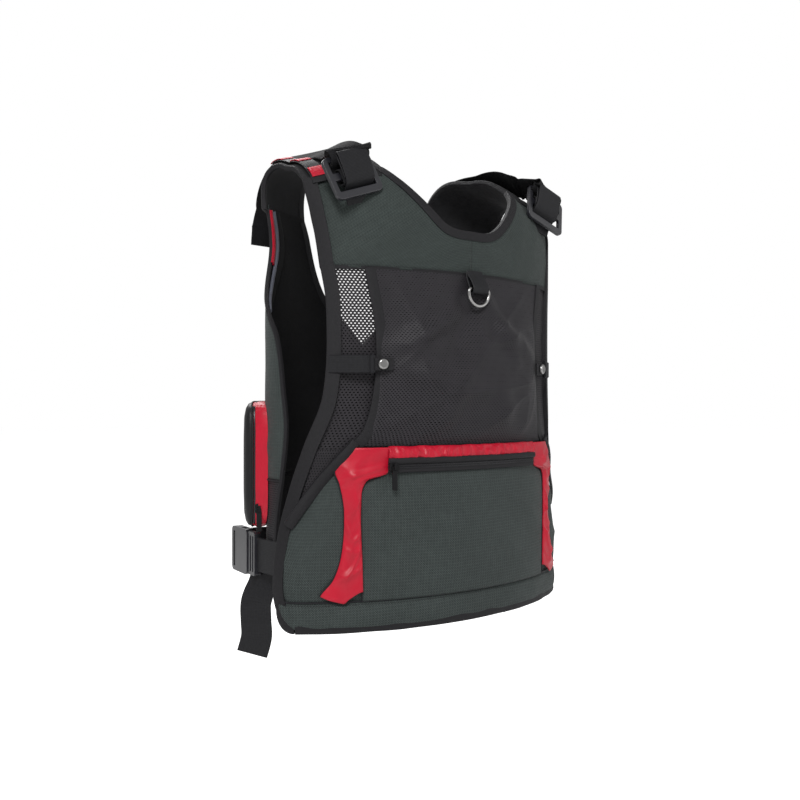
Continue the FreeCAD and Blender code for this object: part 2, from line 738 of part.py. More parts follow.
def build_front_pocket(side, sign):
    top = size("pocket_top")
    bottom = size("pocket_bottom")
    rear = size("pocket_rear")
    fore = size("pocket_fore")
    lift = size("front_cloth") + gap
    depth = size("pocket_depth")
    soft_part(side + "_front_pocket_gusset",
              panel(constant(sign * rear), constant(sign * fore), bottom, top, lift, depth, 9, 5))

    def dish(u, v):
        return 3.0 + 6.0 * (math.sin(math.pi * u) * math.sin(math.pi * v)) ** 0.5
    soft_part(side + "_front_pocket_cover",
              panel(constant(sign * (rear + 1)), constant(sign * (fore - 1)), bottom + 2, top - 2,
                    lift + depth + gap, dish, 9, 9))
    place = front_zip_frame(sign)
    chain = body_of(side + "_front_zip_chain")
    strip = sketch_on(chain, side + "_front_zip_strip")
    rectangle(strip, "sizes.front_zip_length", "sizes.zip_width")
    pad(chain, strip, side + "_front_zip_tape", "1.2")
    chain.Placement = place
    parts.append(chain)
    slider_at = Vector(place.multVec(Vector(size("front_zip_start") - size("front_zip_length") / 2, 0, 1.5)))
    out = place.Rotation.multVec(Vector(0, 0, 1))
    along = place.Rotation.multVec(Vector(1, 0, 0))
    build_zip_slider(side + "_front_zip_slider", frame_at(slider_at, along, out), "XZ_Plane")
    build_zip_pull(side + "_front_zip_pull", pull_frame(slider_at + out * eye_height(), out))


def front_zip_frame(sign):
    """The zipper on the rear wall of a front pocket: X up the zipper, Z out of the wall."""
    run = size("front_zip_level") + size_arch
    rear = sign * size("pocket_rear")
    foot = size("front_cloth") + gap
    low = skin(rear, run, foot + 2)
    high = skin(rear, run, foot + size("pocket_depth") - 2)
    wall = (high - low).normalize()
    out = wall.cross(Vector(0, 0, 1)) * sign
    if out.y > 0:
        out = -out
    middle = (low + high) * 0.5 + out * 0.4
    return frame_at(middle, Vector(0, 0, 1), out)


# ---------------------------------------------------------------- side strap and buckle

def buckle_frame(sign, shift=0.0):
    """X along the strap towards the front, Y up or down, Z out of the wearer's side."""
    turn = math.radians(size("buckle_turn"))
    along = Vector(-sign * math.sin(turn), math.cos(turn), 0)
    out = Vector(sign, 0, 0)
    origin = Vector(sign * size("buckle_x"), size("buckle_y"), size("side_level")) + along * shift
    return frame_at(origin, along, out)


def build_socket(side, sign):
    """The buckle's hollow half, with side windows that show the prongs, and a rear webbing bar."""
    body = body_of(side + "_side_socket")
    shell = sketch_on(body, side + "_socket_outline")
    middle = "sizes.ladder_length + 0.5 + sizes.socket_length / 2"
    rectangle(shell, "sizes.socket_length", "sizes.socket_height", middle)
    block = pad(body, shell, side + "_socket_block", "sizes.socket_thickness", middle=True)
    round_edges(body, block, side + "_socket_corners", 6.0, upright)
    mouth = sketch_on(body, side + "_socket_mouth")
    rectangle(mouth, "sizes.socket_depth + 10", "sizes.socket_height - 2 * sizes.socket_wall - 3",
              "sizes.ladder_length + 0.5 + (sizes.socket_depth - 10) / 2")
    pocket(body, mouth, side + "_socket_cavity", "sizes.socket_thickness - 2 * sizes.socket_wall",
           middle=True)
    windows = sketch_on(body, side + "_socket_windows")
    rectangle(windows, "15.0", "sizes.socket_height + 10",
              "sizes.ladder_length + 18.5")
    pocket(body, windows, side + "_socket_sides",
           "sizes.socket_thickness - 2 * sizes.socket_wall", middle=True)
    slot = sketch_on(body, side + "_socket_slot")
    rectangle(slot, "5.0", "sizes.side_webbing + 3",
              "sizes.ladder_length + 0.5 + sizes.socket_length - 8.5")
    pocket(body, slot, side + "_socket_bar", "sizes.socket_thickness + 4", middle=True)
    doc.recompute()
    body.Placement = buckle_frame(sign)
    parts.append(body)


def build_plug(side, sign):
    """The buckle's pronged half: a ladder for the webbing, a centre guide and two prongs."""
    body = body_of(side + "_side_plug")
    ladder = sketch_on(body, side + "_ladder_outline")
    rectangle(ladder, "sizes.ladder_length", "sizes.socket_height - 3", "sizes.ladder_length / 2")
    block = pad(body, ladder, side + "_ladder_block", "sizes.ladder_thickness", middle=True)
    round_edges(body, block, side + "_ladder_corners", 3.0, upright)
    slots = sketch_on(body, side + "_ladder_slots")
    for centre in ("5.4", "12.6"):
        rectangle(slots, "sizes.ladder_slot", "sizes.side_webbing + 2", centre)
    pocket(body, slots, side + "_ladder_slotted", "12.0", middle=True)
    prongs = sketch_on(body, side + "_prongs")
    reach = "sizes.ladder_length + sizes.prong_length / 2 - 0.5"
    for place in ("sizes.prong_offset", "-sizes.prong_offset"):
        rectangle(prongs, "sizes.prong_length + 1", "sizes.prong_width", reach, place)
    rectangle(prongs, "sizes.prong_length + 1", "sizes.guide_width", reach, "0")
    pad(body, prongs, side + "_prong_set", "sizes.prong_thickness", middle=True)
    doc.recompute()
    body.Placement = buckle_frame(sign)
    parts.append(body)


def webbing_strip(path, low, high, thick, sign):
    """Webbing on edge: a plan path of (outward x, y) points, between two heights."""
    curve = Part.BSplineCurve()
    curve.interpolate([Vector(sign * x, y, low) for x, y in path])
    middle = curve.toShape()
    count = 24
    first, last = middle.ParameterRange
    left = []
    right = []
    for step in range(count + 1):
        spot = first + (last - first) * step / count
        point = middle.valueAt(spot)
        tangent = middle.tangentAt(spot)
        across = Vector(-tangent.y, tangent.x, 0).normalize() * (thick / 2)
        left.append(point + across)
        right.append(point - across)
    sides = []
    for run in (left, right):
        side_curve = Part.BSplineCurve()
        side_curve.interpolate(run)
        sides.append(side_curve.toShape())
    caps = [Part.LineSegment(left[0], right[0]).toShape(),
            Part.LineSegment(left[-1], right[-1]).toShape()]
    face = Part.Face(Part.Wire(Part.__sortEdges__(sides + caps)))
    return face.extrude(Vector(0, 0, high - low))


def build_side_strap(side, sign):
    level = size("side_level")
    half = size("side_webbing") / 2
    web = size("webbing")
    build_socket(side, sign)
    build_plug(side, sign)
    place = buckle_frame(sign)
    start = place.multVec(Vector(-0.3, 0, 0))
    strap = [(size("half_width") + 4, size("strap_root_y")), (size("half_width") + 6, 6),
             (abs(start.x), start.y)]
    soft_part(side + "_side_strap", webbing_strip(strap, level - half, level + half, web, sign))
    reach = size("ladder_length") + 0.5 + size("socket_length")
    end = place.multVec(Vector(reach + 0.3, 0, 0))
    onward = [(abs(end.x), end.y), (190, 123), (160, 121), (118, 110), (92, 116)]
    soft_part(side + "_front_strap", webbing_strip(onward, level - half + 1, level + half - 1,
                                                   web, sign))
    # the strap's loose end hangs behind the ladder
    tail_top = place.multVec(Vector(4.0, 0, -5.6))
    hang = [(abs(tail_top.x), tail_top.y - 18), (abs(tail_top.x) - 1, tail_top.y + 20)]
    low = level - half - size("tail_length")
    tail = webbing_strip(hang, low, level - half - 8, web, sign)
    soft_part(side + "_strap_tail", tail)


# ---------------------------------------------------------------- building and writing

build_back()
build_bindings()
build_cargo()
build_lumbar()
build_shoulders()
for side, sign in SIDES.items():
    build_slide(side, sign)
    build_slide_webbing(side, sign)
build_ring()
build_studs()
build_lumbar_zip()
for side, sign in SIDES.items():
    build_front(side, sign)

doc.recompute()
problems = []
for item in doc.Objects:
    if "Invalid" in item.State or "Error" in item.State:
        problems.append(item.Name + " failed")
for item in parts:
    if item.Shape.isNull() or not item.Shape.isValid():
        problems.append(item.Label + " has no valid shape")
if problems:
    raise RuntimeError("; ".join(problems))

os.makedirs("parts", exist_ok=True)
for item in parts:
    item.Shape.exportStep("parts/%s.step" % item.Label)
    solids = len(item.Shape.Solids)
    print("%-30s solids %d volume %.0f" % (item.Label, solids, item.Shape.Volume))
print(len(parts), "parts")
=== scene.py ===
"""The looks of the utility vest: cloth, mesh, tape, webbing and stitching over the fixed CAD model."""
import json
import math

import bmesh
import bpy
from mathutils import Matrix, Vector, noise

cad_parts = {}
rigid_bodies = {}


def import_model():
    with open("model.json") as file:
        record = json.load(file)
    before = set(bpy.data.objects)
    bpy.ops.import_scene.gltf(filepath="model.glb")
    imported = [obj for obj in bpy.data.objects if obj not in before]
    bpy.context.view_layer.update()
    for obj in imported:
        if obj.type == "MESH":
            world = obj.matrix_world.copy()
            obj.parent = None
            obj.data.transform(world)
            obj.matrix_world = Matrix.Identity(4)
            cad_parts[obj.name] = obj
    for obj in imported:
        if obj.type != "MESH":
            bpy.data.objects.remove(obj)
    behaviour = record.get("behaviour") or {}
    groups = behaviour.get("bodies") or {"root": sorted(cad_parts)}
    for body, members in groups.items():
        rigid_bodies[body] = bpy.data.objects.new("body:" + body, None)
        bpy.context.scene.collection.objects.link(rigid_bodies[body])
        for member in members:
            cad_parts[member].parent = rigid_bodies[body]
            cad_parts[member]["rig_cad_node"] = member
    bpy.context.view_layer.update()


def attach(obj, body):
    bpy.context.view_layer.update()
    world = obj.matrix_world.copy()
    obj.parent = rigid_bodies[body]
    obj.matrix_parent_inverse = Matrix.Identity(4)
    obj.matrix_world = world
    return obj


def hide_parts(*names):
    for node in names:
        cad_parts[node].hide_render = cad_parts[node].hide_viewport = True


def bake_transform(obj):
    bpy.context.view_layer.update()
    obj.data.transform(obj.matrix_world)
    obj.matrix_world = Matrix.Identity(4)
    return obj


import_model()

MM = 0.001
SIDES = {"left": -1, "right": 1}

# ------------------------------------------------------------ the body form, as the CAD has it
HALF_WIDTH, BACK, FRONT, ARCH = 208.0, 100.0, 120.0, 86.0
ARCH_SLOPE, LEVEL_HALF, ARCH_SQUARE = 0.30, 88.0, 0.24


def fullness(rise):
    return 1 + ARCH_SQUARE * math.sin(2 * rise) ** 2


def form(angle, run):
    """A point in mm. angle: 0 back, 180 front. run: up to 0 in mm below the arch, then degrees."""
    turn = math.radians(angle)
    across = HALF_WIDTH * math.sin(turn)
    ahead = -math.cos(turn)
    if run <= 0:
        return Vector((across, (FRONT if ahead > 0 else BACK) * ahead, run - ARCH))
    share = abs(ahead)
    high = ARCH - ARCH_SLOPE * max(0.0, abs(across) - LEVEL_HALF)
    rise = math.radians(run)
    reach = (FRONT + BACK) / 2 * share * math.cos(rise)
    middle = (FRONT - BACK) / 2 * share
    if ahead > 0:
        full = fullness(rise)
        return Vector((across, middle + reach * full, high * math.sin(rise) * full - ARCH))
    return Vector((across, middle - reach, high * math.sin(rise) - ARCH))


def skin(angle, run, lift):
    """A point in metres that stands `lift` mm off the form, and the outward normal there."""
    step = 0.4
    point = form(angle, run)
    along = form(angle + step, run) - form(angle - step, run)
    upward = form(angle, run + step) - form(angle, run - step)
    normal = along.cross(upward).normalized()
    if normal.dot(Vector((point.x, point.y, point.z - min(point.z, -ARCH)))) < 0:
        normal.negate()
    return (point + normal * lift) * MM, normal


def run_of(height, across=0.0, front=False):
    if height <= -ARCH:
        return height + ARCH
    high = ARCH - ARCH_SLOPE * max(0.0, abs(across) - LEVEL_HALF)
    rise = 0.0
    for _ in range(8 if front else 1):
        rise = math.asin(min(1.0, (height + ARCH) / (high * (fullness(rise) if front else 1.0))))
    return math.degrees(rise)


def at_height(angle, height, lift):
    across = HALF_WIDTH * math.sin(math.radians(angle))
    return skin(angle, run_of(height, across, abs(angle) > 90), lift)


def angle_of(across):
    return math.degrees(math.asin(across / HALF_WIDTH))


def mix(low, high, share):
    return low + (high - low) * share


def ease(share):
    share = min(1.0, max(0.0, share))
    return share * share * (3 - 2 * share)


def hermite(start, end, slope_in, slope_out, share):
    cube, square = share ** 3, share ** 2
    return ((2 * cube - 3 * square + 1) * start + (cube - 2 * square + share) * slope_in
            + (3 * square - 2 * cube) * end + (cube - square) * slope_out)


def through(points, at):
    """A smooth value through (place, value) points, in falling order of place."""
    if at >= points[0][0]:
        return points[0][1]
    for k in range(len(points) - 1):
        (upper, start), (lower, end) = points[k], points[k + 1]
        if at >= lower:
            share = (upper - at) / (upper - lower)
            before = points[k - 1] if k else points[k]
            after = points[k + 2] if k + 2 < len(points) else points[k + 1]
            slope_in = (end - before[1]) / (before[0] - lower) * (upper - lower)
            slope_out = (after[1] - start) / (upper - after[0]) * (upper - lower)
            return hermite(start, end, slope_in, slope_out, share)
    return points[-1][1]


BACK_EDGE = [(-134, 60.5), (-190, 57), (-290, 58.5), (-350, 68), (-400, 76), (-450, 81.5),
             (-512, 83), (-540, 79), (-558, 71)]
CARGO_EDGE = [(-146, 41.5), (-216, 37.5), (-280, 38), (-329, 42), (-348, 47.5)]
FRONT_REAR = [(-60, 118), (-110, 122), (-160, 112), (-194, 98), (-225, 87), (-290, 81),
              (-330, 79), (-380, 82), (-430, 87), (-496, 90)]
FRONT_OPEN = [(-60, 150), (-150, 160), (-222, 180.6), (-240, 180.6), (-496, 180.6)]
# heights on the back, in mm, from the top down
WING_TOP, YOKE_SEAM, RED_TOP, BACKING_TOP = -48.0, -146.0, -348.0, -349.0
CORNER_NET_TOP, PANEL_LOW, RED_BOTTOM, FACE_TOP = -351.0, -352.0, -365.0, -376.0
CORNER_NET_LOW, LUMBAR_SEAM, TURN_START, HEM = -446.0, -522.0, -532.0, -557.0
# heights on the fronts; the net starts a little above the cloth's lower edge
FRONT_TOP, FRONT_NET_TOP, FRONT_WAIST = -57.0, -386.0, -388.0
FRONT_LINING_LOW, FRONT_LOW = -494.0, -495.0
WING_INNER, CORNER_INNER = 41.0, 45.0    # angles where the lower wings and their nets begin
CLOTH = 4.0    # how far the cloth stands off the form


def along(line, sign=1, inset=0.0):
    """An edge as a function from height to angle."""
    return lambda height: sign * (through(line, height) - inset)


def flare(angle, height):
    """The back's lower corners stand away from the form, in mm."""
    return 9.0 * ease((abs(angle) - 46) / 32) * ease((-380 - height) / 130)


def between(left, right, low, high, lift, sign=1):
    """Cloth between two edges, each a function from height to angle. lift(u, v, angle, height) is in mm."""
    def surface(u, v):
        height = mix(low, high, v)
        angle = mix(left(height), right(height), u)
        return at_height(sign * angle, height, lift(u, v, angle, height))
    return surface


def level_line(reach, height, lift, count):
    """(point, normal) pairs along the back at one height, for some degrees to either side."""
    angles = [mix(-reach, reach, k / count) for k in range(count + 1)]
    return [at_height(angle, height, lift + flare(angle, height)) for angle in angles]


# ------------------------------------------------------------ materials

class Graph:
    """The node graph of one material, whose nodes end in the Principled shader."""

    def __init__(self, tree, colour):
        self.nodes, self.links = tree.nodes, tree.links
        self.shader = tree.nodes["Principled BSDF"]
        self.colour = colour

    def node(self, kind, **values):
        made = self.nodes.new(kind)
        for key, value in values.items():
            if key in made.inputs:
                made.inputs[key].default_value = value
            else:
                setattr(made, key, value)
        return made

    def maths(self, operation, first, second, clamp=False):
        made = self.node("ShaderNodeMath", operation=operation, use_clamp=clamp)
        for place, value in enumerate((first, second)):
            if hasattr(value, "is_linked"):
                self.links.new(value, made.inputs[place])
            else:
                made.inputs[place].default_value = value
        return made.outputs[0]

    def times(self, first, second):
        return self.maths("MULTIPLY", first, second)

    def plus(self, first, second):
        return self.maths("ADD", first, second)

    def place(self, cloth_map=True, scale=(1, 1, 1), turn=0.0):
        """Metres along the cloth where the piece has a cloth map, and object metres elsewhere."""
        if cloth_map:
            source = self.node("ShaderNodeUVMap", uv_map="cloth").outputs[0]
        else:
            source = self.node("ShaderNodeTexCoord").outputs["Object"]
        mapping = self.node("ShaderNodeMapping", Scale=scale, Rotation=(0, 0, turn))
        self.links.new(source, mapping.inputs[0])
        return mapping.outputs[0]

    def texture(self, kind, vector, output, **values):
        made = self.node(kind, **values)
        self.links.new(vector, made.inputs["Vector"])
        return made.outputs[output]

    def wave(self, vector, direction, scale, distortion=0.0):
        return self.texture("ShaderNodeTexWave", vector, "Fac", bands_direction=direction, Scale=scale,
                            Distortion=distortion)

    def grain(self, vector, scale, detail=3.0):
        return self.texture("ShaderNodeTexNoise", vector, "Fac", Scale=scale, Detail=detail)

    def shade(self, factor, dark, light):
        """Mixes the base colour from dark to light times its value."""
        ramp = self.node("ShaderNodeMix", data_type="RGBA")
        for socket, times in ((6, dark), (7, light)):
            ramp.inputs[socket].default_value = (*[min(1, c * times) for c in self.colour], 1)
        self.links.new(factor, ramp.inputs[0])
        self.links.new(ramp.outputs[2], self.shader.inputs["Base Color"])

    def bump(self, height, strength, distance):
        made = self.node("ShaderNodeBump", Strength=strength, Distance=distance)
        self.links.new(height, made.inputs["Height"])
        self.links.new(made.outputs[0], self.shader.inputs["Normal"])


def material(name, colour, roughness, build, sheen=0.0, metallic=0.0, coat=0.0, specular=0.25):
    """A Principled material whose colour varies and whose bump comes from build(graph)."""
    made = bpy.data.materials.new(name)
    made.use_nodes = True
    graph = Graph(made.node_tree, colour)
    shader = graph.shader
    shader.inputs["Base Color"].default_value = (*colour, 1)
    shader.inputs["Roughness"].default_value = roughness
    shader.inputs["Metallic"].default_value = metallic
    shader.inputs["Sheen Weight"].default_value = sheen
    shader.inputs["Sheen Roughness"].default_value = 0.4
    shader.inputs["Coat Weight"].default_value = coat
    shader.inputs["Coat Roughness"].default_value = 0.25
    shader.inputs["Specular IOR Level"].default_value = specular
    build(graph)
    return made


def ripstop(pitch, strength=1.0):
    """Plain weave of pale dots, with a heavier thread at every other dot both ways. pitch is in mm."""
    def build(graph):
        place = graph.place()
        turned = graph.place(turn=math.pi / 4)
        per = math.pi / (pitch * MM) / 10
        dots = graph.times(graph.wave(turned, "X", per, 0.3), graph.wave(turned, "Y", per, 0.3))
        lines = graph.maths("MAXIMUM", graph.wave(place, "X", per / 2), graph.wave(place, "Y", per / 2))
        lines = graph.maths("POWER", lines, 6.0)
        patchy = graph.grain(graph.place(True, (1, 0.5, 1), 0.4), 160, 4)
        cloudy = graph.grain(place, 14, 2)
        tone = graph.plus(graph.times(dots, 0.9 * strength), graph.times(lines, 0.3 * strength))
        tone = graph.plus(tone, graph.times(patchy, 0.35))
        tone = graph.plus(tone, graph.times(cloudy, 0.35))
        graph.shade(graph.maths("SUBTRACT", tone, 0.35, True), 0.55, 1.9)
        graph.bump(graph.plus(dots, lines), 0.6, 0.0004)
    return build


def ribbed(pitch):
    """Webbing or grosgrain: ribs across the tape, with a faint weave. pitch is in mm."""
    def build(graph):
        place = graph.place()
        per = math.pi / (pitch * MM) / 10
        ribs = graph.wave(place, "Y", per, 0.6)
        weave = graph.wave(place, "X", per * 0.8, 0.4)
        mixed = graph.plus(graph.times(ribs, 0.6), graph.times(weave, 0.3))
        tone = graph.plus(mixed, graph.times(graph.grain(place, 260, 4), 0.7))
        graph.shade(graph.maths("SUBTRACT", tone, 0.35, True), 0.6, 1.8)
        graph.bump(mixed, 0.6, 0.0003)
    return build


def satin_folds(graph):
    weave = graph.wave(graph.place(), "X", 260, 0.5)
    soft = graph.grain(graph.place(True, (1, 0.35, 1), 0.7), 60)
    # soft is the diagonal fold noise that also makes the bump: the colour is lighter on its crests and darker
    # in its troughs, painted highlight and painted shade on the folds.
    graph.shade(soft, 0.8, 1.25)
    graph.bump(graph.plus(graph.times(weave, 0.08), soft), 0.4, 0.0009)


def moulded(scale, depth):
    def build(graph):
        place = graph.place(False)
        fine = graph.grain(place, scale, 4)
        graph.shade(graph.grain(place, 60), 0.75, 1.3)
        graph.bump(fine, 0.35, depth)
    return build


def padded_knit(graph):
    place = graph.place(False)
    cells = graph.texture("ShaderNodeTexVoronoi", place, "Distance", Scale=620.0)
    graph.shade(graph.grain(place, 90), 0.6, 1.5)
    graph.bump(cells, 0.5, 0.0004)


GREY = material("slate_ripstop", (0.036, 0.045, 0.043), 0.7, ripstop(1.9), sheen=0.05)
YOKE = material("slate_plain_weave", (0.035, 0.045, 0.042), 0.7, ripstop(1.6, 0.8), sheen=0.05)
NET = material("black_net", (0.020, 0.018, 0.021), 0.55, moulded(900, 0.0002), sheen=0.06)
POUCH_NET = material("grey_black_net", (0.022, 0.020, 0.0235), 0.6, moulded(900, 0.0002), sheen=0.06,
                     specular=0.3)
BLACK = material("black_lining", (0.004, 0.004, 0.0045), 0.85, padded_knit)
PAD = material("black_pad_knit", (0.009, 0.009, 0.010), 0.75, padded_knit, sheen=0.03)
TAPE = material("black_binding", (0.0075, 0.007, 0.0085), 0.65, ribbed(0.9), sheen=0.015, specular=0.3)
WEBBING = material("black_webbing", (0.008, 0.008, 0.0095), 0.55, ribbed(1.5), sheen=0.02, specular=0.25)
FUZZ = material("black_loop_pile", (0.0055, 0.0055, 0.0065), 0.9, padded_knit, sheen=0.04)
SATIN = material("red_satin", (0.46, 0.004, 0.022), 0.38, satin_folds, sheen=0.04, specular=0.35)
RED_WEB = material("red_webbing", (0.40, 0.004, 0.020), 0.5, ribbed(1.3), sheen=0.05)
PIPING = material("grey_piping", (0.10, 0.105, 0.13), 0.4, moulded(1500, 0.0001))
SHELL = material("moulded_shell", (0.009, 0.009, 0.010), 0.45, moulded(700, 0.0004))
PLASTIC = material("charcoal_plastic", (0.012, 0.012, 0.016), 0.38, moulded(1400, 0.00012), coat=0.3,
                   specular=0.6)
STEEL = material("nickel", (0.36, 0.355, 0.35), 0.3, moulded(500, 0.00005), metallic=1.0)
COIL = material("zip_coil", (0.010, 0.010, 0.012), 0.35, moulded(900, 0.0002), specular=0.5)
ZIP_METAL = material("black_zip_metal", (0.012, 0.012, 0.013), 0.3, moulded(700, 0.0001), metallic=0.4)
DARK_THREAD = material("dark_thread", (0.010, 0.010, 0.012), 0.5, moulded(2500, 0.0001))


# ------------------------------------------------------------ piece making

def piece(name, vertices, faces, finish, body, smooth=True, cloth=None):
    """A mesh object that rides on a body. cloth holds each vertex's metres along the cloth."""
    mesh = bpy.data.meshes.new(name)
    mesh.from_pydata([tuple(v) for v in vertices], [], faces)
    if cloth is not None:
        layer = mesh.uv_layers.new(name="cloth")
        for loop in mesh.loops:
            layer.data[loop.index].uv = cloth[loop.vertex_index]
    mesh.validate()
    for polygon in mesh.polygons:
        polygon.use_smooth = smooth
    mesh.materials.append(finish)
    made = bpy.data.objects.new(name, mesh)
    bpy.context.scene.collection.objects.link(made)
    if body:
        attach(made, body)
    return made


def grid_lengths(grid):
    """Metres along the cloth for each point of a grid, along its rows and its columns."""
    across, up = len(grid), len(grid[0])
    spots = [[[0.0, 0.0] for _ in range(up)] for _ in range(across)]
    for i in range(1, across):
        for j in range(up):
            spots[i][j][0] = spots[i - 1][j][0] + (grid[i][j] - grid[i - 1][j]).length
    for j in range(up):
        middle = spots[across // 2][j][0]
        for i in range(across):
            spots[i][j][0] -= middle
    for i in range(across):
        for j in range(1, up):
            spots[i][j][1] = spots[i][j - 1][1] + (grid[i][j] - grid[i][j - 1]).length
    return spots


def layer_faces(across, up):
    """Faces of two grids of points, one behind the other, joined round their rims."""
    rows = up + 1
    size = (across + 1) * rows
    faces = []
    for i in range(across):
        for j in range(up):
            a, b = i * rows + j, (i + 1) * rows + j
            faces += [(a, b, b + 1, a + 1), (a + size, a + 1 + size, b + 1 + size, b + size)]
    rim = [i * rows for i in range(across + 1)] + [across * rows + j for j in range(1, rows)]
    rim += [i * rows + up for i in range(across - 1, -1, -1)] + list(range(up - 1, 0, -1))
    for k, start in enumerate(rim):
        end = rim[(k + 1) % len(rim)]
        faces.append((end, start, start + size, end + size))
    return faces


def shell(name, surface, across, up, thick, finish, body):
    """A sheet of cloth with a thickness in mm, from surface(u, v) -> (point, normal)."""
    grid = [[surface(i / across, j / up) for j in range(up + 1)] for i in range(across + 1)]
    spots = grid_lengths([[spot[0] for spot in row] for row in grid])
    vertices = [point - normal * (thick * MM * layer) for layer in (0, 1)
                for row in grid for point, normal in row]
    cloth = [spot for row in spots for spot in row] * 2
    made = piece(name, vertices, layer_faces(across, up), finish, body, True, cloth)
    fix_normals(made)
    return made


def fix_normals(made):
    work = bmesh.new()
    work.from_mesh(made.data)
    bmesh.ops.recalc_face_normals(work, faces=work.faces)
    work.to_mesh(made.data)
    work.free()


def net(name, surface, width, height, finish, body, pitch=4.0, row=2.6, hole_share=0.5):
    """Open mesh cloth: staggered eyelets in a sheet, each a ring of quads about a hole.

    surface(u, v) -> (point, normal). width and height, in mm, set how many eyelets fit.
    """
    columns = max(2, int(round(width / pitch)))
    rows = max(2, int(round(height / row)))
    halves = columns * 2
    vertices, faces, cloth = [], [], []
    lattice = {}

    def corner(i, j):
        key = (i, j)
        if key not in lattice:
            lattice[key] = len(vertices)
            vertices.append(surface(i / halves, j / rows)[0])
            cloth.append((i / halves * width * MM, j / rows * height * MM))
        return lattice[key]
    wide, low, high = hole_share, hole_share * 0.55, hole_share * 1.2
    hole = [(-wide, -low), (0, -high), (wide, -low), (wide, low), (0, high), (-wide, low)]
    for j in range(rows):
        shift = j % 2
        for i in range(-shift, halves, 2):
            if i < 0 or i + 2 > halves:
                a, b = (max(i, 0), min(i + 2, halves))
                faces.append((corner(a, j), corner(b, j), corner(b, j + 1), corner(a, j + 1)))
                continue
            ring = [corner(i, j), corner(i + 1, j), corner(i + 2, j),
                    corner(i + 2, j + 1), corner(i + 1, j + 1), corner(i, j + 1)]
            first = len(vertices)
            for across, up in hole:
                u, v = (i + 1 + across) / halves, (j + 0.5 + up * 0.5) / rows
                vertices.append(surface(u, v)[0])
                cloth.append((u * width * MM, v * height * MM))
            for k in range(6):
                n = (k + 1) % 6
                faces.append((ring[k], ring[n], first + n, first + k))
    return piece(name, vertices, faces, finish, body, True, cloth)


def sweep(name, spots, profile, finish, body):
    """Runs a closed profile along spots (point, side, normal). Profile points are in mm."""
    vertices, faces, cloth = [], [], []
    around = [0.0]
    for k in range(len(profile)):
        a, b = profile[k], profile[(k + 1) % len(profile)]
        around.append(around[-1] + math.hypot(b[0] - a[0], b[1] - a[1]) * MM)
    run = 0.0
    for k, (point, side, normal) in enumerate(spots):
        if k:
            run += (point - spots[k - 1][0]).length
        for n, (a, b) in enumerate(profile):
            vertices.append(point + side * (a * MM) + normal * (b * MM))
            cloth.append((around[n], run))
    size = len(profile)
    for k in range(len(spots) - 1):
        for n in range(size):
            m = (n + 1) % size
            faces.append((k * size + n, k * size + m, (k + 1) * size + m, (k + 1) * size + n))
    faces.append(tuple(range(size)))
    faces.append(tuple(len(vertices) - size + n for n in reversed(range(size))))
    made = piece(name, vertices, faces, finish, body, True, cloth)
    fix_normals(made)
    for edge in made.data.edges:
        edge.use_edge_sharp = False
    made.data.set_sharp_from_angle(angle=0.7)
    return made


def strap_profile(width, thick):
    """A flat strap's section with softly rounded edges."""
    half, deep = width / 2, thick / 2
    soft = min(deep, 0.8)
    return [(-half, -deep + soft), (-half + soft, -deep), (half - soft, -deep), (half, -deep + soft),
            (half, deep - soft), (half - soft, deep), (-half + soft, deep), (-half, deep - soft)]


def oval(wide, high, count=10):
    return [(wide * math.cos(2 * math.pi * k / count), high * math.sin(2 * math.pi * k / count))
            for k in range(count)]


def runs_of(path):
    """The direction along a path at each of its points."""
    last = len(path) - 1
    return [(path[min(last, k + 1)] - path[max(0, k - 1)]).normalized() for k in range(last + 1)]


def square_to(run, side):
    return (side - run * side.dot(run)).normalized()


def rail(points_normals, inward=None):
    """Spots for a sweep from (point, normal) pairs: side lies in the surface, square to the run."""
    spots = []
    runs = runs_of([point for point, _ in points_normals])
    for (point, normal), run in zip(points_normals, runs):
        side = normal.cross(run).normalized()
        if inward is not None and side.dot(inward(point)) < 0:
            side = -side
        facing = side.cross(run)
        spots.append((point, side, facing.normalized() * (1 if facing.dot(normal) > 0 else -1)))
    return spots


def bind(name, edge, top, bottom, width, body, inward):
    """A tape folded over a cloth's edge. edge: (point, normal) pairs on the cloth's form."""
    fold = [(width, top), (width, top + 0.7), (1.0, top + 1.1), (-1.1, top + 0.4),
            (-1.5, (top + bottom) / 2), (-1.1, bottom - 0.4), (1.0, bottom - 1.1),
            (width, bottom - 0.7), (width, bottom)]
    return sweep(name, rail(edge, inward), fold, TAPE, body)


STITCH_PITCH, STITCH_LENGTH, STITCH_RADIUS = 3.4, 2.2, 0.26


def stitches(name, path):
    """A row of stitches along a path of (point, normal) pairs."""
    vertices, faces = [], []
    run, target = 0.0, 0.0
    for k in range(1, len(path)):
        start, end = path[k - 1][0], path[k][0]
        span = (end - start).length
        ahead = (end - start).normalized()
        while target < run + span:
            share = (target - run) / span
            point = start.lerp(end, share)
            normal = path[k][1]
            side = ahead.cross(normal).normalized()
            first = len(vertices)
            for step, size in ((-0.5, 0.35), (-0.25, 1.0), (0.25, 1.0), (0.5, 0.35)):
                middle = point + ahead * (step * STITCH_LENGTH * MM)
                for a, b in ((-1, 0), (0, 1), (1, 0), (0, -0.4)):
                    vertices.append(middle + (side * a + normal * b) * (STITCH_RADIUS * size * MM))
            for ring in range(3):
                for n in range(4):
                    a, b = first + ring * 4 + n, first + ring * 4 + (n + 1) % 4
                    faces.append((a, b, b + 4, a + 4))
            faces.append((first, first + 1, first + 2, first + 3))
            faces.append((first + 15, first + 14, first + 13, first + 12))
            target += STITCH_PITCH * MM
        run += span
    return piece(name, vertices, faces, DARK_THREAD, "vest")


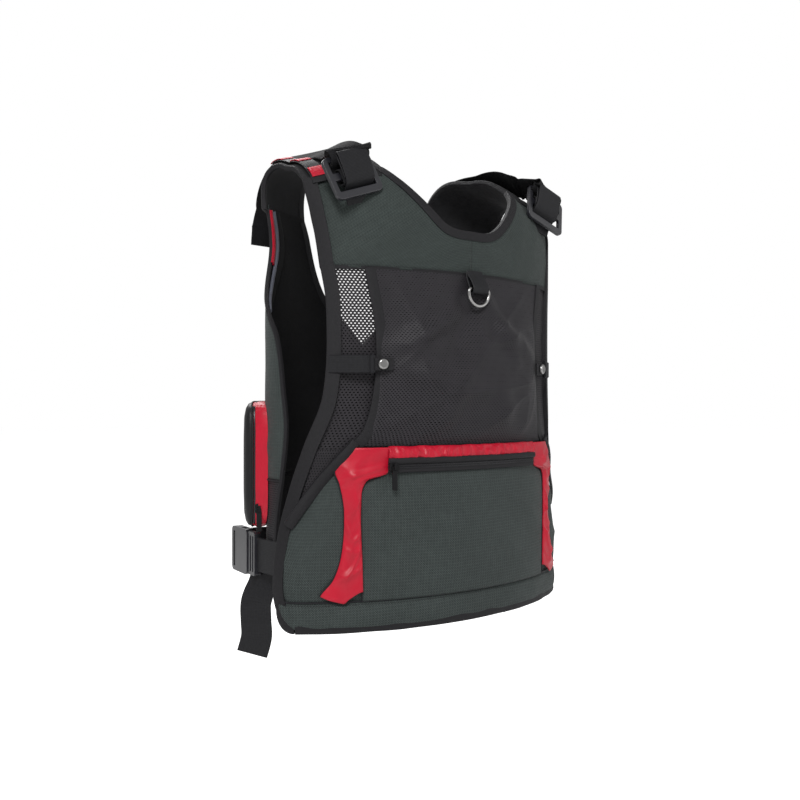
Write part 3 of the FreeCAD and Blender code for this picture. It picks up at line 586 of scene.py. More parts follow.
def wrinkle(u, v, stretch=(1, 1), turn=0.0, seed=0.0):
    """A smooth noise from -1 to 1, drawn out along one way."""
    a = u * math.cos(turn) - v * math.sin(turn)
    b = u * math.sin(turn) + v * math.cos(turn)
    return noise.noise(Vector((a * stretch[0] + seed, b * stretch[1] - seed, seed * 1.7)))


def fold_line(u, v, seed, stretch, turn):
    """Narrow ridges, from 0 to 1."""
    return (1 - abs(wrinkle(u, v, stretch, turn, seed))) ** 4


def sampled(curve, count):
    return [curve(k / count) for k in range(count + 1)]


# ------------------------------------------------------------ back panel, yoke and bindings

def neck_line(t):
    """The right half of the neckline as (x, height), from the middle up to the wing's inner corner."""
    points = [(0, -94), (22, -93.5), (38, -89), (52, -79), (66, -66), (80, -52), (91, -40), (101, -26)]
    place = t * (len(points) - 1)
    k = min(len(points) - 2, int(place))
    share = place - k
    before, after = points[max(0, k - 1)], points[min(len(points) - 1, k + 2)]
    here, there = points[k], points[k + 1]
    found = []
    for axis in (0, 1):
        slope_in, slope_out = (there[axis] - before[axis]) / 2, (after[axis] - here[axis]) / 2
        if k == 0:
            slope_in = (there[axis] - here[axis]) if axis == 0 else 0.0
        found.append(hermite(here[axis], there[axis], slope_in, slope_out, share))
    return tuple(found)


def wing_outer(height):
    return through([(-30, 188), (-60, 190), (-86, 187.5), (-110, 184), (-146, 180)], height)


def yoke_outer(t):
    """The right half of the yoke's outer edge as (x, height): along the seam, then up the armhole."""
    turn_at = 0.52
    if t <= turn_at:
        return mix(0, wing_outer(YOKE_SEAM), t / turn_at), YOKE_SEAM
    height = mix(YOKE_SEAM, WING_TOP, (t - turn_at) / (1 - turn_at))
    return wing_outer(height), height


def yoke_surface(sign):
    def surface(u, v):
        inner, outer = neck_line(u), yoke_outer(u)
        across, height = (mix(inner[k], outer[k], v) for k in (0, 1))
        angle = sign * angle_of(across)
        crease = fold_line(across / 60, height / 60, 3.0 + sign, (1.2, 0.5), 0.5) * 1.2
        crease *= ease((across - 40) / 60)
        lift = CLOTH + 0.6 + crease + 0.5 * wrinkle(across / 45, height / 45, seed=5 + sign)
        return at_height(angle, height, lift)
    return surface


def build_yoke():
    halves = [shell(side + "_yoke_half", yoke_surface(sign), 64, 22, 3.4, YOKE, "vest")
              for side, sign in SIDES.items()]
    yoke = join(halves, "yoke_cloth")
    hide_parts("back_yoke")
    neck = []
    for sign in (-1, 1):
        half = [at_height(sign * angle_of(x), z, CLOTH) for x, z in sampled(neck_line, 40)]
        neck += reversed(half) if sign < 0 else half[1:]

    def outward(place):
        return Vector((9 * place.x, -0.3, -1))
    bound = bind("neck_tape", neck, 0.9, -4.4, 9.5, "vest", outward)
    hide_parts("neck_binding")
    stitches("yoke_seam_stitches", level_line(60, YOKE_SEAM + 3.5, CLOTH + 1.9, 120))
    welt = level_line(60, YOKE_SEAM + 0.5, CLOTH + 0.6, 120)
    sweep("yoke_seam_tape", rail(welt), strap_profile(5, 1.4), TAPE, "vest")


def join(objects, name):
    """Joins meshes into the first one and welds the points that meet."""
    work = bmesh.new()
    for item in objects:
        work.from_mesh(item.data)
    bmesh.ops.remove_doubles(work, verts=work.verts, dist=0.00002)
    target = objects[0]
    work.to_mesh(target.data)
    work.free()
    for item in objects[1:]:
        bpy.data.objects.remove(item)
    target.name = name
    return target


def edge_of(points, sign, top, bottom, lift, count=90):
    """(point, normal) pairs down one side edge of the form."""
    found = []
    for k in range(count + 1):
        height = mix(top, bottom, k / count)
        found.append(at_height(sign * through(points, height), height, lift))
    return found


def build_back():
    whole = along(BACK_EDGE, -1, 0.5), along(BACK_EDGE, 1, 0.5), PANEL_LOW, YOKE_SEAM
    back = between(*whole, lambda u, v, angle, height: 2.6 + 0.8 * wrinkle(u * 6, v * 5, seed=2))
    mesh = net("back_net", back, 372, 206, NET, "vest", 5.2, 2.9, 0.46)
    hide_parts("back_panel")
    middle = along(CARGO_EDGE, -1, 0.5), along(CARGO_EDGE, 1, 0.5), PANEL_LOW, YOKE_SEAM
    behind = between(*middle, lambda u, v, angle, height: 1.6 + 0.5 * wrinkle(u * 5, v * 4, seed=13))
    shell("pouch_backing", behind, 40, 24, 0.8, BLACK, "vest")
    lower = between(along(BACK_EDGE, -1, 0.3), along(BACK_EDGE, 1, 0.3), HEM, BACKING_TOP,
                    lambda u, v, angle, height: 2.2 + flare(angle, height))
    shell("lumbar_backing", lower, 60, 24, 2.0, BLACK, "vest")
    # Painted shade: a black sheet behind the right side of the back net stands in for the shaded inside of
    # the vest seen through the net. The left side has no such sheet.
    beside = between(along(CARGO_EDGE, 1, 1.5), along(BACK_EDGE, 1, 1.5), PANEL_LOW, YOKE_SEAM,
                     lambda u, v, angle, height: 1.4)
    shell("right_side_backing", beside, 12, 24, 0.8, BLACK, "vest")
    for side, sign in SIDES.items():
        corner = between(lambda height: CORNER_INNER, along(BACK_EDGE, 1, 1.0),
                         CORNER_NET_LOW, CORNER_NET_TOP,
                         lambda u, v, angle, height: CLOTH + 0.8 + flare(angle, height), sign)
        net(side + "_corner_net", corner, 104, 95, NET, "vest", 5.2, 2.9, 0.46)
        run = []
        for k in range(150):
            height = mix(WING_TOP, TURN_START, k / 149)
            if height > YOKE_SEAM:
                angle = sign * angle_of(wing_outer(height))
            else:
                angle = sign * through(BACK_EDGE, height)
            run.append(at_height(angle, height, CLOTH + flare(angle, height)))
        for k in range(1, 16):
            turn = math.radians(6 * k)
            height = TURN_START - 24 * math.sin(turn)
            angle = sign * (through(BACK_EDGE, TURN_START) - 9 * (1 - math.cos(turn)))
            run.append(at_height(angle, height, CLOTH + flare(angle, height)))

        def inward(place, s=sign):
            low = ease((-0.520 - place.z) / 0.03)
            return Vector((-s * (1 - low) - 0.2 * s * low, -0.4 * (1 - low), low * 1.2))
        bound = bind(side + "_armhole_tape", run, 2.6, -3.2, 15.0, "vest", inward)
        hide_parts(side + "_armhole_binding")
        seam = [(p + n * 0.0026 + Vector((-sign * 0.0098, -0.0056, 0)), n) for p, n in run[22:110]]
        stitches(side + "_armhole_stitches", seam)
    hem = []
    for k in range(161):
        angle = mix(-71, 71, k / 160)
        hem.append(at_height(angle, HEM + 1.0 + 0.5 * wrinkle(k / 14, 0, seed=3),
                             CLOTH + flare(angle, HEM) + 0.6 * wrinkle(k / 10, 1, seed=5)))
    bound = bind("hem_tape", hem, 3.4, -1.2, 11.5, "vest", lambda p: Vector((0, 0, 1)))
    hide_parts("hem_binding")
    for side, sign in SIDES.items():
        fold = []
        for k in range(31):
            share = k / 30
            angle = mix(45.5, 75, share)
            height = mix(-343, -437, share ** 0.9) + 5 * math.sin(math.pi * share)
            fold.append(at_height(sign * angle, height, CLOTH + 6.5 + 1.5 * math.sin(9 * share)
                                  + flare(angle, height)))
        sweep(side + "_wing_tape", rail(fold), [(-6.5, -2), (-5, 0.6), (-1, 1.8), (3, 0.9), (6.5, -2)],
              TAPE, "vest")


# ------------------------------------------------------------ cargo pocket

def cargo_lift(u, v):
    down = 1 - v
    bulge = math.sin(math.pi * min(1.0, down ** 1.6)) if down > 0 else 0.0
    return CLOTH + 1.0 + (1.5 + 20.5 * math.sin(math.pi * u)) * max(0.0, bulge)


# folds of the mesh pocket: start, end, width (as shares of its width and height) and rise in mm
POUCH_CREASES = [((0.04, 0.52), (0.42, 0.78), 0.05, 4.0), ((0.05, 0.46), (0.5, 0.3), 0.06, 3.5),
                 ((0.5, 0.95), (0.36, 0.5), 0.05, -3.0), ((0.52, 0.95), (0.74, 0.5), 0.05, 3.5),
                 ((0.96, 0.5), (0.62, 0.7), 0.06, 4.0), ((0.3, 0.04), (0.38, 0.3), 0.05, 3.0),
                 ((0.66, 0.04), (0.6, 0.34), 0.06, 3.0), ((0.12, 0.95), (0.2, 0.62), 0.04, 3.0)]


def ridge(u, v, start, end, width):
    """A soft ridge from 0 to 1 along a line, dying away at its far end."""
    way = end[0] - start[0], end[1] - start[1]
    length = math.hypot(*way)
    share = ((u - start[0]) * way[0] + (v - start[1]) * way[1]) / length ** 2
    away = abs((u - start[0]) * way[1] - (v - start[1]) * way[0]) / length
    if not -0.1 < share < 1.1:
        return 0.0
    return math.exp(-(away / width) ** 2) * math.sin(math.pi * min(1, max(0, (share + 0.1) / 1.2))) ** 0.7


def cargo_surface(u, v):
    height = mix(RED_TOP + 0.5, YOKE_SEAM - 0.6, v)
    edge = through(CARGO_EDGE, height)
    sag = fold_line(u * 3, v * 2.4, 11.0, (1.1, 0.6), 0.9) * 4.5
    sag += fold_line(u * 3.4, v * 2.6, 4.0, (0.7, 1.3), -0.6) * 4.0
    sag += wrinkle(u * 3, v * 3, (1, 1.4), 0.5, 21.0) * 3.5
    for start, end, width, depth in POUCH_CREASES:
        sag += 1.9 * depth * ridge(u, v, start, end, width)
    fade = min(1.0, 5 * min(u, 1 - u)) * min(1.0, 7 * min(v, 1 - v))
    lift = cargo_lift(u, v) + 1.0 + (sag - 1.5) * fade
    return at_height(mix(-edge, edge, u), height, max(CLOTH + 2.5, lift))


def build_cargo():
    mesh = net("cargo_net", cargo_surface, 272, 202, POUCH_NET, "vest", 4.2, 2.1)
    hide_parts("cargo_pocket")
    for side, u in (("left", 0.0), ("right", 1.0)):
        sign = SIDES[side]
        run = [cargo_surface(u, 1 - k / 60) for k in range(61)]
        bind(side + "_cargo_tape", run, 0.5, -1.0, 11.0, "vest",
                          lambda p, s=sign: Vector((-s, 0, 0)))
    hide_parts("cargo_edge_tapes")


# ------------------------------------------------------------ lumbar pocket

COLUMN_OUTER = [(-349, 150), (-362, 160), (-375, 168), (-390, 164), (-420, 160), (-466, 162),
                (-495, 169), (-518, 181), (-525, 170)]
COLUMN_INNER = [(-349, 113), (-366, 113), (-379, 116), (-386, 137), (-414, 143), (-487, 141.5),
                (-513, 141)]


def column_surface(sign):
    def surface(u, v):
        low = mix(-511, -523, ease(u / 0.6)) if u < 0.6 else mix(-523, -514, (u - 0.6) / 0.4)
        height = mix(BACKING_TOP, low, v)
        across = mix(through(COLUMN_INNER, height), through(COLUMN_OUTER, height), u)
        folds = fold_line(u * 1.1, v * 4.2, 1.5 + sign, (0.8, 1.5), 0.6) * 3.2
        folds += fold_line(u * 0.9, v * 5.5, 7.5 - sign, (0.7, 1.3), -0.5) * 2.2
        folds += (ridge(u, v, (0.1, 0.72), (1.0, 0.9), 0.03) * 2.5
                  + ridge(u, v, (0.0, 0.12), (0.9, 0.2), 0.02) * 2.5)
        fade = min(1.0, 5 * min(u, 1 - u) + 0.12) * min(1.0, 12 * min(v, 1 - v))
        puff = 3.0 * math.sin(math.pi * u) ** 0.7
        angle = angle_of(across)
        return at_height(sign * angle, height,
                         CLOTH + 6.6 + puff + (folds - 2.2) * fade + flare(angle, height))
    return surface


def red_band_surface(u, v):
    across = mix(-114, 114, u)
    wavy = 0.8 * wrinkle(u * 14, 0, seed=3)
    height = mix(RED_BOTTOM + 1.5 * wrinkle(u * 5, 1, seed=8), RED_TOP + wavy, v)
    folds = fold_line(u * 26, v * 1.6, 3.5, (0.9, 0.8), 0.35) * 3.2 + wrinkle(u * 40, v * 2, seed=6) * 0.8
    fade = min(1.0, 4 * min(v, 1 - v) + 0.15)
    lift = mix(CLOTH + 8.5, CLOTH + 5.0, v) + 2.2 * math.sin(math.pi * v)
    return at_height(angle_of(across), height, lift + (folds - 0.8) * fade)


def face_edge(height):
    """Half the width of the lumbar face at this height."""
    return through([(-376, 114), (-383, 125), (-388, 138), (-414, 143.5), (-487, 142), (-524, 142)], height)


def face_surface(u, v):
    height = mix(LUMBAR_SEAM, FACE_TOP, v)
    across = mix(-face_edge(height), face_edge(height), u)
    puff = 5.5 * (math.sin(math.pi * u) ** 0.45) * (math.sin(math.pi * min(1, v * 0.93 + 0.02)) ** 0.6)
    folds = wrinkle(u * 3.2, v * 2.0, seed=9) * 1.8 + fold_line(u * 3, v * 2, 5.2, (0.8, 1.6), 0.35) * 2.0
    fade = min(1.0, 8 * min(u, 1 - u)) * min(1.0, 6 * min(v, 1 - v) + 0.1)
    return at_height(angle_of(across), height, CLOTH + 4.4 + puff + folds * fade)


def wing_surface(sign):
    """The cloth beside the lumbar pocket. Its top edge slopes down to the side."""
    def surface(u, v):
        outer = through(BACK_EDGE, mix(LUMBAR_SEAM, -400, v)) - 2.6
        angle = mix(WING_INNER, outer, u)
        top = mix(PANEL_LOW, -436, ease((angle - 47) / 26))
        height = mix(LUMBAR_SEAM - 1, top, v)
        outer = through(BACK_EDGE, height) - 2.6
        angle = mix(WING_INNER, outer, u)
        puff = 3.5 * math.sin(math.pi * min(1, u * 1.02)) ** 0.6 * math.sin(math.pi * v) ** 0.5
        folds = fold_line(u * 1.8, v * 3, 2.5 + sign, (1.2, 0.7), 0.9) * 2.4
        folds += wrinkle(u * 2, v * 5, seed=4 - sign) * 1.3
        fade = min(1.0, 5 * min(u, 1 - u)) * min(1.0, 6 * min(v, 1 - v))
        return at_height(sign * angle, height, CLOTH + 2.0 + puff + folds * fade + flare(angle, height))
    return surface


def hem_surface(u, v):
    height = mix(HEM + 3, LUMBAR_SEAM, v)
    edge = through(BACK_EDGE, height) - 2.6
    puff = 3.0 * math.sin(math.pi * v) ** 0.6
    folds = wrinkle(u * 12, v * 1.2, seed=12) * 1.4 * math.sin(math.pi * v)
    folds += fold_line(u * 14, v, 7.0, (1, 0.4), 0.5) * 1.2 * math.sin(math.pi * v)
    angle = mix(-edge, edge, u)
    return at_height(angle, height, CLOTH + 2.6 + puff + folds + flare(angle, height))


def build_lumbar():
    for side, sign in SIDES.items():
        shell(side + "_red_column", column_surface(sign), 24, 90, 1.2, SATIN, "vest")
    band = shell("red_band", red_band_surface, 150, 10, 1.2, SATIN, "vest")
    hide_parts("lumbar_gusset")
    face = shell("lumbar_face", face_surface, 84, 46, 1.4, GREY, "vest")
    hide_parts("lumbar_pocket_face")
    for side, sign in SIDES.items():
        wing = shell(side + "_wing_cloth", wing_surface(sign), 18, 44, 1.4, GREY, "vest")
        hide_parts(side + "_lumbar_wing")
        edge = [surface_spot(column_surface(sign), 1.0, 1 - k / 60, 0.0) for k in range(61)]
        sweep(side + "_column_outer_welt", rail(edge), oval(0.9, 0.9, 8), TAPE, "vest")
        inner = [surface_spot(face_surface, 0.0 if sign < 0 else 1.0, 1 - k / 60, 0.3) for k in range(61)]
        sweep(side + "_column_inner_welt", rail(inner), oval(0.8, 0.8, 8), TAPE, "vest")
    strip = shell("hem_strip", hem_surface, 110, 8, 1.4, GREY, "vest")
    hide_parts("hem_panel")
    sweep("lumbar_seam_welt", rail(level_line(78, LUMBAR_SEAM, CLOTH + 3.8, 150)), oval(1.0, 0.8, 8),
          DARK_THREAD, "vest")
    stitches("lumbar_seam_stitches", level_line(76, LUMBAR_SEAM - 3.4, CLOTH + 4.9, 150))


def surface_spot(surface, u, v, lift):
    point, normal = surface(u, v)
    return point + normal * (lift * MM), normal


ZIP_RADIUS, ZIP_CENTRE, ZIP_LEVEL = 445.0, 331.0, -371.0


def zip_spot(degrees, height, lift):
    turn = math.radians(degrees)
    out = Vector((math.sin(turn), -math.cos(turn), 0))
    return (Vector((0, ZIP_CENTRE, height)) + out * (ZIP_RADIUS + lift)) * MM, out


def build_lumbar_zip():
    """Two tapes, a reversed coil between them, and a rolled flap along the top."""
    first, last = -15.7, 14.5
    level = [zip_spot(mix(first, last, k / 100), ZIP_LEVEL, -0.9) for k in range(101)]
    tape = sweep("lumbar_zip_tape", rail(level), strap_profile(13.5, 1.2), TAPE, "vest")
    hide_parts("lumbar_zip_chain")
    coil("lumbar_zip_coil", lambda t, z, lift: zip_spot(mix(first + 0.4, last - 0.4, t), ZIP_LEVEL + z, lift),
         230, "vest")
    flap = [zip_spot(mix(first, last, k / 100), ZIP_LEVEL + 6.6 + 0.5 * wrinkle(k / 9, 0, seed=2), 0.6)
            for k in range(101)]
    sweep("lumbar_zip_flap", rail(flap), oval(3.4, 1.7, 12), TAPE, "vest")


def coil(name, spot, length, body):
    """The closed coil: slanting ribs either side of a groove."""
    vertices, faces = [], []
    count = int(length / 1.3)
    for k in range(count):
        t = (k + 0.5) / count
        dt = 0.36 / count
        for sign in (-1, 1):
            first = len(vertices)
            for step, z in ((-dt, 0.25), (dt, 0.25), (dt * 1.4, 2.1), (-dt * 0.2, 2.1)):
                for up in (-0.35, 0.55):
                    vertices.append(spot(t + step, z * sign, up)[0])
            a = first
            faces += [(a, a + 2, a + 4, a + 6), (a + 1, a + 7, a + 5, a + 3)]
            for n in range(4):
                p, q = a + 2 * n, a + 2 * ((n + 1) % 4)
                faces.append((p, p + 1, q + 1, q))
    made = piece(name, vertices, faces, COIL, body, False)
    fix_normals(made)
    return made


# ------------------------------------------------------------ shoulders

def over(sign, across, run, lift):
    """A spot on the shoulder arch. run goes 0 to 180 degrees, back to front."""
    turn = angle_of(abs(across))
    if run <= 90:
        return skin(sign * turn, run, lift)
    return skin(sign * (180 - turn), 180 - run, lift)


def end_run(across, height=-59.5):
    return 180 - run_of(height, across, True)


def arch_fill(run):
    """Extra height over the strap's top and its front bend, in mm."""
    return 3.0 * ease((run - 50) / 30) + 7.0 * math.exp(-((run - 122) / 24) ** 2)


def build_shoulder(side, sign):
    inner, outer = 101.0, 189.0

    def pad_surface(lower):
        def surface(u, v):
            across = mix(inner, outer, u)
            run = mix(36.0, end_run(across, -64.0), v)
            crown = (math.sin(math.pi * u) ** 0.5) * (math.sin(math.pi * mix(0.06, 0.94, v)) ** 0.3)
            lift = 0.8 if lower else 3.6 + 4.6 * crown
            return over(sign, across, run, lift + arch_fill(run) * (0.8 if lower else 1.0))
        return surface
    pad = padded_solid(side + "_shoulder_pad_cloth", pad_surface(False), pad_surface(True), 20, 44, PAD)
    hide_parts(side + "_shoulder_pad")
    reach = [over(sign, 145, 96, 6)[0], over(sign, 145, end_run(145, -64.0), 6)[0]]
    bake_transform(pad)
    for name, across in (("inner", inner), ("outer", outer)):
        way = 1 if name == "inner" else -1
        stops = [mix(36, end_run(across, -64.0), k / 60) for k in range(61)]
        run = [over(sign, across, stop, 3.0 + arch_fill(stop)) for stop in stops]
        edging = bind(side + "_pad_tape_" + name, run, 0.9, -3.0, 9.0, None,
                      lambda p, s=sign * way: Vector((s, 0, 0)))
        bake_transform(edging)

    # the daisy chain: a webbing strip sewn down with red loops showing between black ones
    stops = [mix(34, 120, k / 60) for k in range(61)]
    strip = [over(sign, 175, stop, 8.6 + arch_fill(stop)) for stop in stops]
    chain = sweep(side + "_daisy_web", rail(strip), strap_profile(20, 1.2), WEBBING, "vest")
    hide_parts(side + "_daisy_chain")
    for number, (low, high) in enumerate(((42, 57), (76, 92), (108, 122))):
        loop = []
        for n in range(13):
            stop = mix(low, high, n / 12)
            arc = 0.9 * math.sin(math.pi * n / 12) ** 0.5
            loop.append(over(sign, 174, stop, 9.5 + arch_fill(stop) + arc))
        sweep(side + "_daisy_loop_%d" % number, rail(loop), strap_profile(18, 1.2), RED_WEB, "vest")
    build_band(side, sign)
    build_slide_webbing(side, sign)


def build_band(side, sign):
    """The wide band: it turns over the slide's top bar, crosses the shoulder and ends in a free tip."""
    origin, along, upward, out = slide_axes(sign)
    points, ways = [], []
    for a, b in ((4.0, -5.2), (11.0, -5.0), (15.5, -1.5), (17.0, 3.5), (21.0, 7.0), (27.5, 7.2)):
        points.append((origin + upward * a + out * b - along * (sign * 4)) * MM)
        ways.append(along.copy())
    leave = points[-1]
    land = over(sign, 137, 62, 17.0)[0]
    for k in range(1, 5):
        points.append(leave.lerp(land, k / 5))
        ways.append(along.copy())
    for k in range(25):
        run = mix(62, 157, k / 24)
        rise = 5.5 * ease((112 - run) / 50) + 15.0 * ease((run - 112) / 45)
        place = over(sign, 137, run, 11.5 + arch_fill(run) + rise)[0]
        points.append(place)
        tilt = (over(sign, 150, run, 11.5)[0] - over(sign, 124, run, 11.5)[0]) * sign
        twist = 0.28 * ease((125 - run) / 40)
        ways.append((tilt.normalized() - Vector((0, 0, sign * twist))).normalized())
    for k in range(1, 6):
        height = mix(-60, -98, k / 5)
        points.append(at_height(sign * (180 - angle_of(137)), height, 26.5 + 2.5 * k / 5)[0])
        ways.append(Vector((1, 0, 0.12 * sign)).normalized())
    count = 170
    path, sides = smooth_path(points, count), smooth_path(ways, count)
    rails = []
    for spot, way, run in zip(path, sides, runs_of(path)):
        across = square_to(run, way)
        rails.append((spot, across, across.cross(run).normalized()))
    web = sweep(side + "_band_web", rails, strap_profile(55, 1.8), FUZZ, None)
    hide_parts(side + "_shoulder_band", side + "_band_tail")
    start = at_height(sign * (180 - angle_of(137)), -30, 10)[0]
    end = at_height(sign * (180 - angle_of(137)), -84, 10)[0]
    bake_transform(web)
    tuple(start)
    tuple(end)


def padded_solid(name, top, bottom, across, up, finish):
    """A closed soft body between two surfaces whose edges meet in a round."""
    steps = [(i, j) for i in range(across + 1) for j in range(up + 1)]
    vertices = [surface(i / across, j / up)[0] for surface in (top, bottom) for i, j in steps]
    cloth = [(i * 0.004, j * 0.004) for i, j in steps] * 2
    made = piece(name, vertices, layer_faces(across, up), finish, None, True, cloth)
    fix_normals(made)
    return made


def slide_axes(sign):
    lean, tilt = math.radians(16.0), math.radians(19.0)
    along = Vector((math.cos(tilt), 0, -sign * math.sin(tilt)))
    out = Vector((0, -math.cos(lean), math.sin(lean)))
    out = square_to(along, out)
    return Vector((sign * 156.0, -77.0, -43.0)), along, out.cross(along), out


def build_slide_webbing(side, sign):
    """The yoke's webbing comes up behind the foot bar, rolls over the middle bar and goes back."""
    origin, along, upward, out = slide_axes(sign)

    def local(points, width, name, finish, shift):
        spots = []
        smooth = smooth_path([Vector((0, a, b)) for a, b in points], 60)
        for spot, run in zip(smooth, runs_of(smooth)):
            place = (origin + upward * spot.y + out * spot.z + along * sign * -shift) * MM
            spots.append((place, along, upward * -run.z + out * run.y))
        return sweep(name, spots, strap_profile(width, 1.7), finish, "vest")
    roll = [(-30, -9.5), (-22, -7.0), (-15.0, -3.6), (-11.5, 1.0), (-9.0, 5.6), (-3, 8.8), (6, 10.6),
            (15, 11.6), (22, 12.2), (25.5, 10.8), (26.0, 8.6), (22, 7.8), (12, 7.6), (2, 6.4), (-4, 4.6)]
    made = local(roll, 41, side + "_roll_web", WEBBING, 4.0)
    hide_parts(side + "_slide_webbing")
    inner = [(-9, 0.5), (-7.5, 4.2), (-2, 5.0), (5, 5.2), (8.6, 2.0), (7.6, -3.0), (0, -4.6),
             (-6, -4.0), (-9, -1)]
    local(inner, 44, side + "_roll_core", FUZZ, 3.0)


def smooth_path(points, count):
    """A Catmull-Rom run through points, evenly divided."""
    found = []
    spans = len(points) - 1
    for n in range(count + 1):
        place = n / count * spans
        k = min(spans - 1, int(place))
        t = place - k
        a, b, c, d = (points[min(spans, max(0, k + m))] for m in (-1, 0, 1, 2))
        found.append(0.5 * ((2 * b) + (c - a) * t + (2 * a - 5 * b + 4 * c - d) * t * t
                            + (3 * b - a - 3 * c + d) * t ** 3))
    return found


# ------------------------------------------------------------ small webbing: D-ring tab, stud tabs

def build_tabs():
    path = [(-143, -108.0), (-150, -109.0), (-158, -112.2), (-163, -113.8), (-167.3, -115.5),
            (-168.2, -118.0), (-166.5, -120.6), (-162, -121.2), (-154, -117.0), (-147, -111.6),
            (-141, -108.8)]
    smooth = smooth_path([Vector((0, y, z)) for z, y in path], 50)
    spots = [(spot * MM, Vector((1, 0, 0)), Vector((0, -run.z, run.y)))
             for spot, run in zip(smooth, runs_of(smooth))]
    tab = sweep("ring_tab_web", spots, strap_profile(25, 1.5), WEBBING, "vest")
    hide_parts("d_ring_tab")
    for side, sign in SIDES.items():
        run = []
        for k in range(41):
            t = k / 40
            lift = mix(CLOTH + 3.9, 16.4, ease(t / 0.6))
            run.append(skin(sign * mix(56.3, 32.2, t), -255 + ARCH, lift))
        snap = side + "_snap"
        web = sweep(side + "_stud_web", rail(run[:30]), strap_profile(20, 1.9), WEBBING, snap)
        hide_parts(side + "_snap_tab")
        sweep(side + "_stud_end", rail(run[26:]), strap_profile(14.5, 1.9), TAPE, snap)
        sweep(side + "_stud_keeper", rail(run[26:29]), strap_profile(21.5, 4.2), DARK_THREAD, snap)


# ------------------------------------------------------------ fronts

def build_front(side, sign):
    body = side + "_front"

    def cloth(u, v, lift=3.2):
        height = mix(FRONT_WAIST, FRONT_TOP, v)
        angle = mix(through(FRONT_REAR, height) + 0.8, through(FRONT_OPEN, height) - 0.8, u)
        folds = (wrinkle(u * 3, v * 5, seed=14 + sign) * 1.0
                 + fold_line(u * 2, v * 3, 6, (0.6, 1.2), 0.3) * 1.2)
        fade = min(1.0, 8 * min(u, 1 - u)) * min(1.0, 10 * min(v, 1 - v))
        return at_height(sign * angle, height, lift + folds * fade * 1.4)
    panel = shell(side + "_front_cloth", cloth, 40, 60, 1.2, GREY, body)
    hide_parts(side + "_front_panel")
    shell(side + "_front_lining", lambda u, v: cloth(u, v, 1.6), 30, 50, 1.2, BLACK, body)

    lower = between(along(FRONT_REAR, 1, -0.5), along(FRONT_OPEN, 1, 0.5), FRONT_LOW, FRONT_NET_TOP,
                    lambda u, v, angle, height: 2.4, sign)
    net(side + "_front_net", lower, 230, 109, NET, body)
    rear = edge_of(FRONT_REAR, sign, -61.5, FRONT_LINING_LOW, 2.4, 110)
    bind(side + "_front_rear_tape", rear, 1.5, -1.6, 3.0, body, lambda p: Vector((sign * 0.2, 1.0, 0)))
    fore = edge_of(FRONT_OPEN, sign, -61.5, FRONT_LINING_LOW, 2.4, 110)
    bind(side + "_front_fore_tape", fore, 0.9, -1.6, 9.0, body, lambda p: Vector((sign, 0.0, 0)))

    def across_front(start, height, lift):
        return [at_height(sign * mix(start, 171.5, k / 70), height, lift) for k in range(71)]
    low = across_front(90.5, -494.5, 2.4)
    bind(side + "_front_low_tape", low, 0.9, -1.6, 9.0, body, lambda p: Vector((0, 0, 1)))
    waist = across_front(83.5, FRONT_WAIST, 3.4)
    sweep(side + "_front_waist_welt", rail(waist), oval(1.5, 1.2, 8), TAPE, body)

    def edge_run(low, inset, lift):
        heights = [mix(-63, low, k / 50) for k in range(51)]
        return [at_height(sign * (through(FRONT_REAR, z) + inset), z, lift) for z in heights]
    for name, low, inset, lift, section, finish, slot in (
            ("_front_red_strip", -128, 1.0, -0.6, (4.2, 1.8), RED_WEB, "satin"),
            ("_front_piping", -190, 4.4, -1.6, (3.8, 2.2), PIPING, "tape"),
            ("_front_lining_roll", -190, 8.6, -1.4, (8.5, 2.6), BLACK, "tape")):
        sweep(side + name, rail(edge_run(low, inset, lift)), oval(*section, 12), finish, body)
    low_lining = between(along(FRONT_REAR, 1, -0.6), along(FRONT_OPEN, 1, 0.6),
                         FRONT_LINING_LOW, FRONT_NET_TOP, lambda u, v, angle, height: 1.0, sign)
    shell(side + "_front_low_lining", low_lining, 30, 16, 0.8, BLACK, body)
    build_pocket(side, sign, body)
    build_side_strap(side, sign, body)


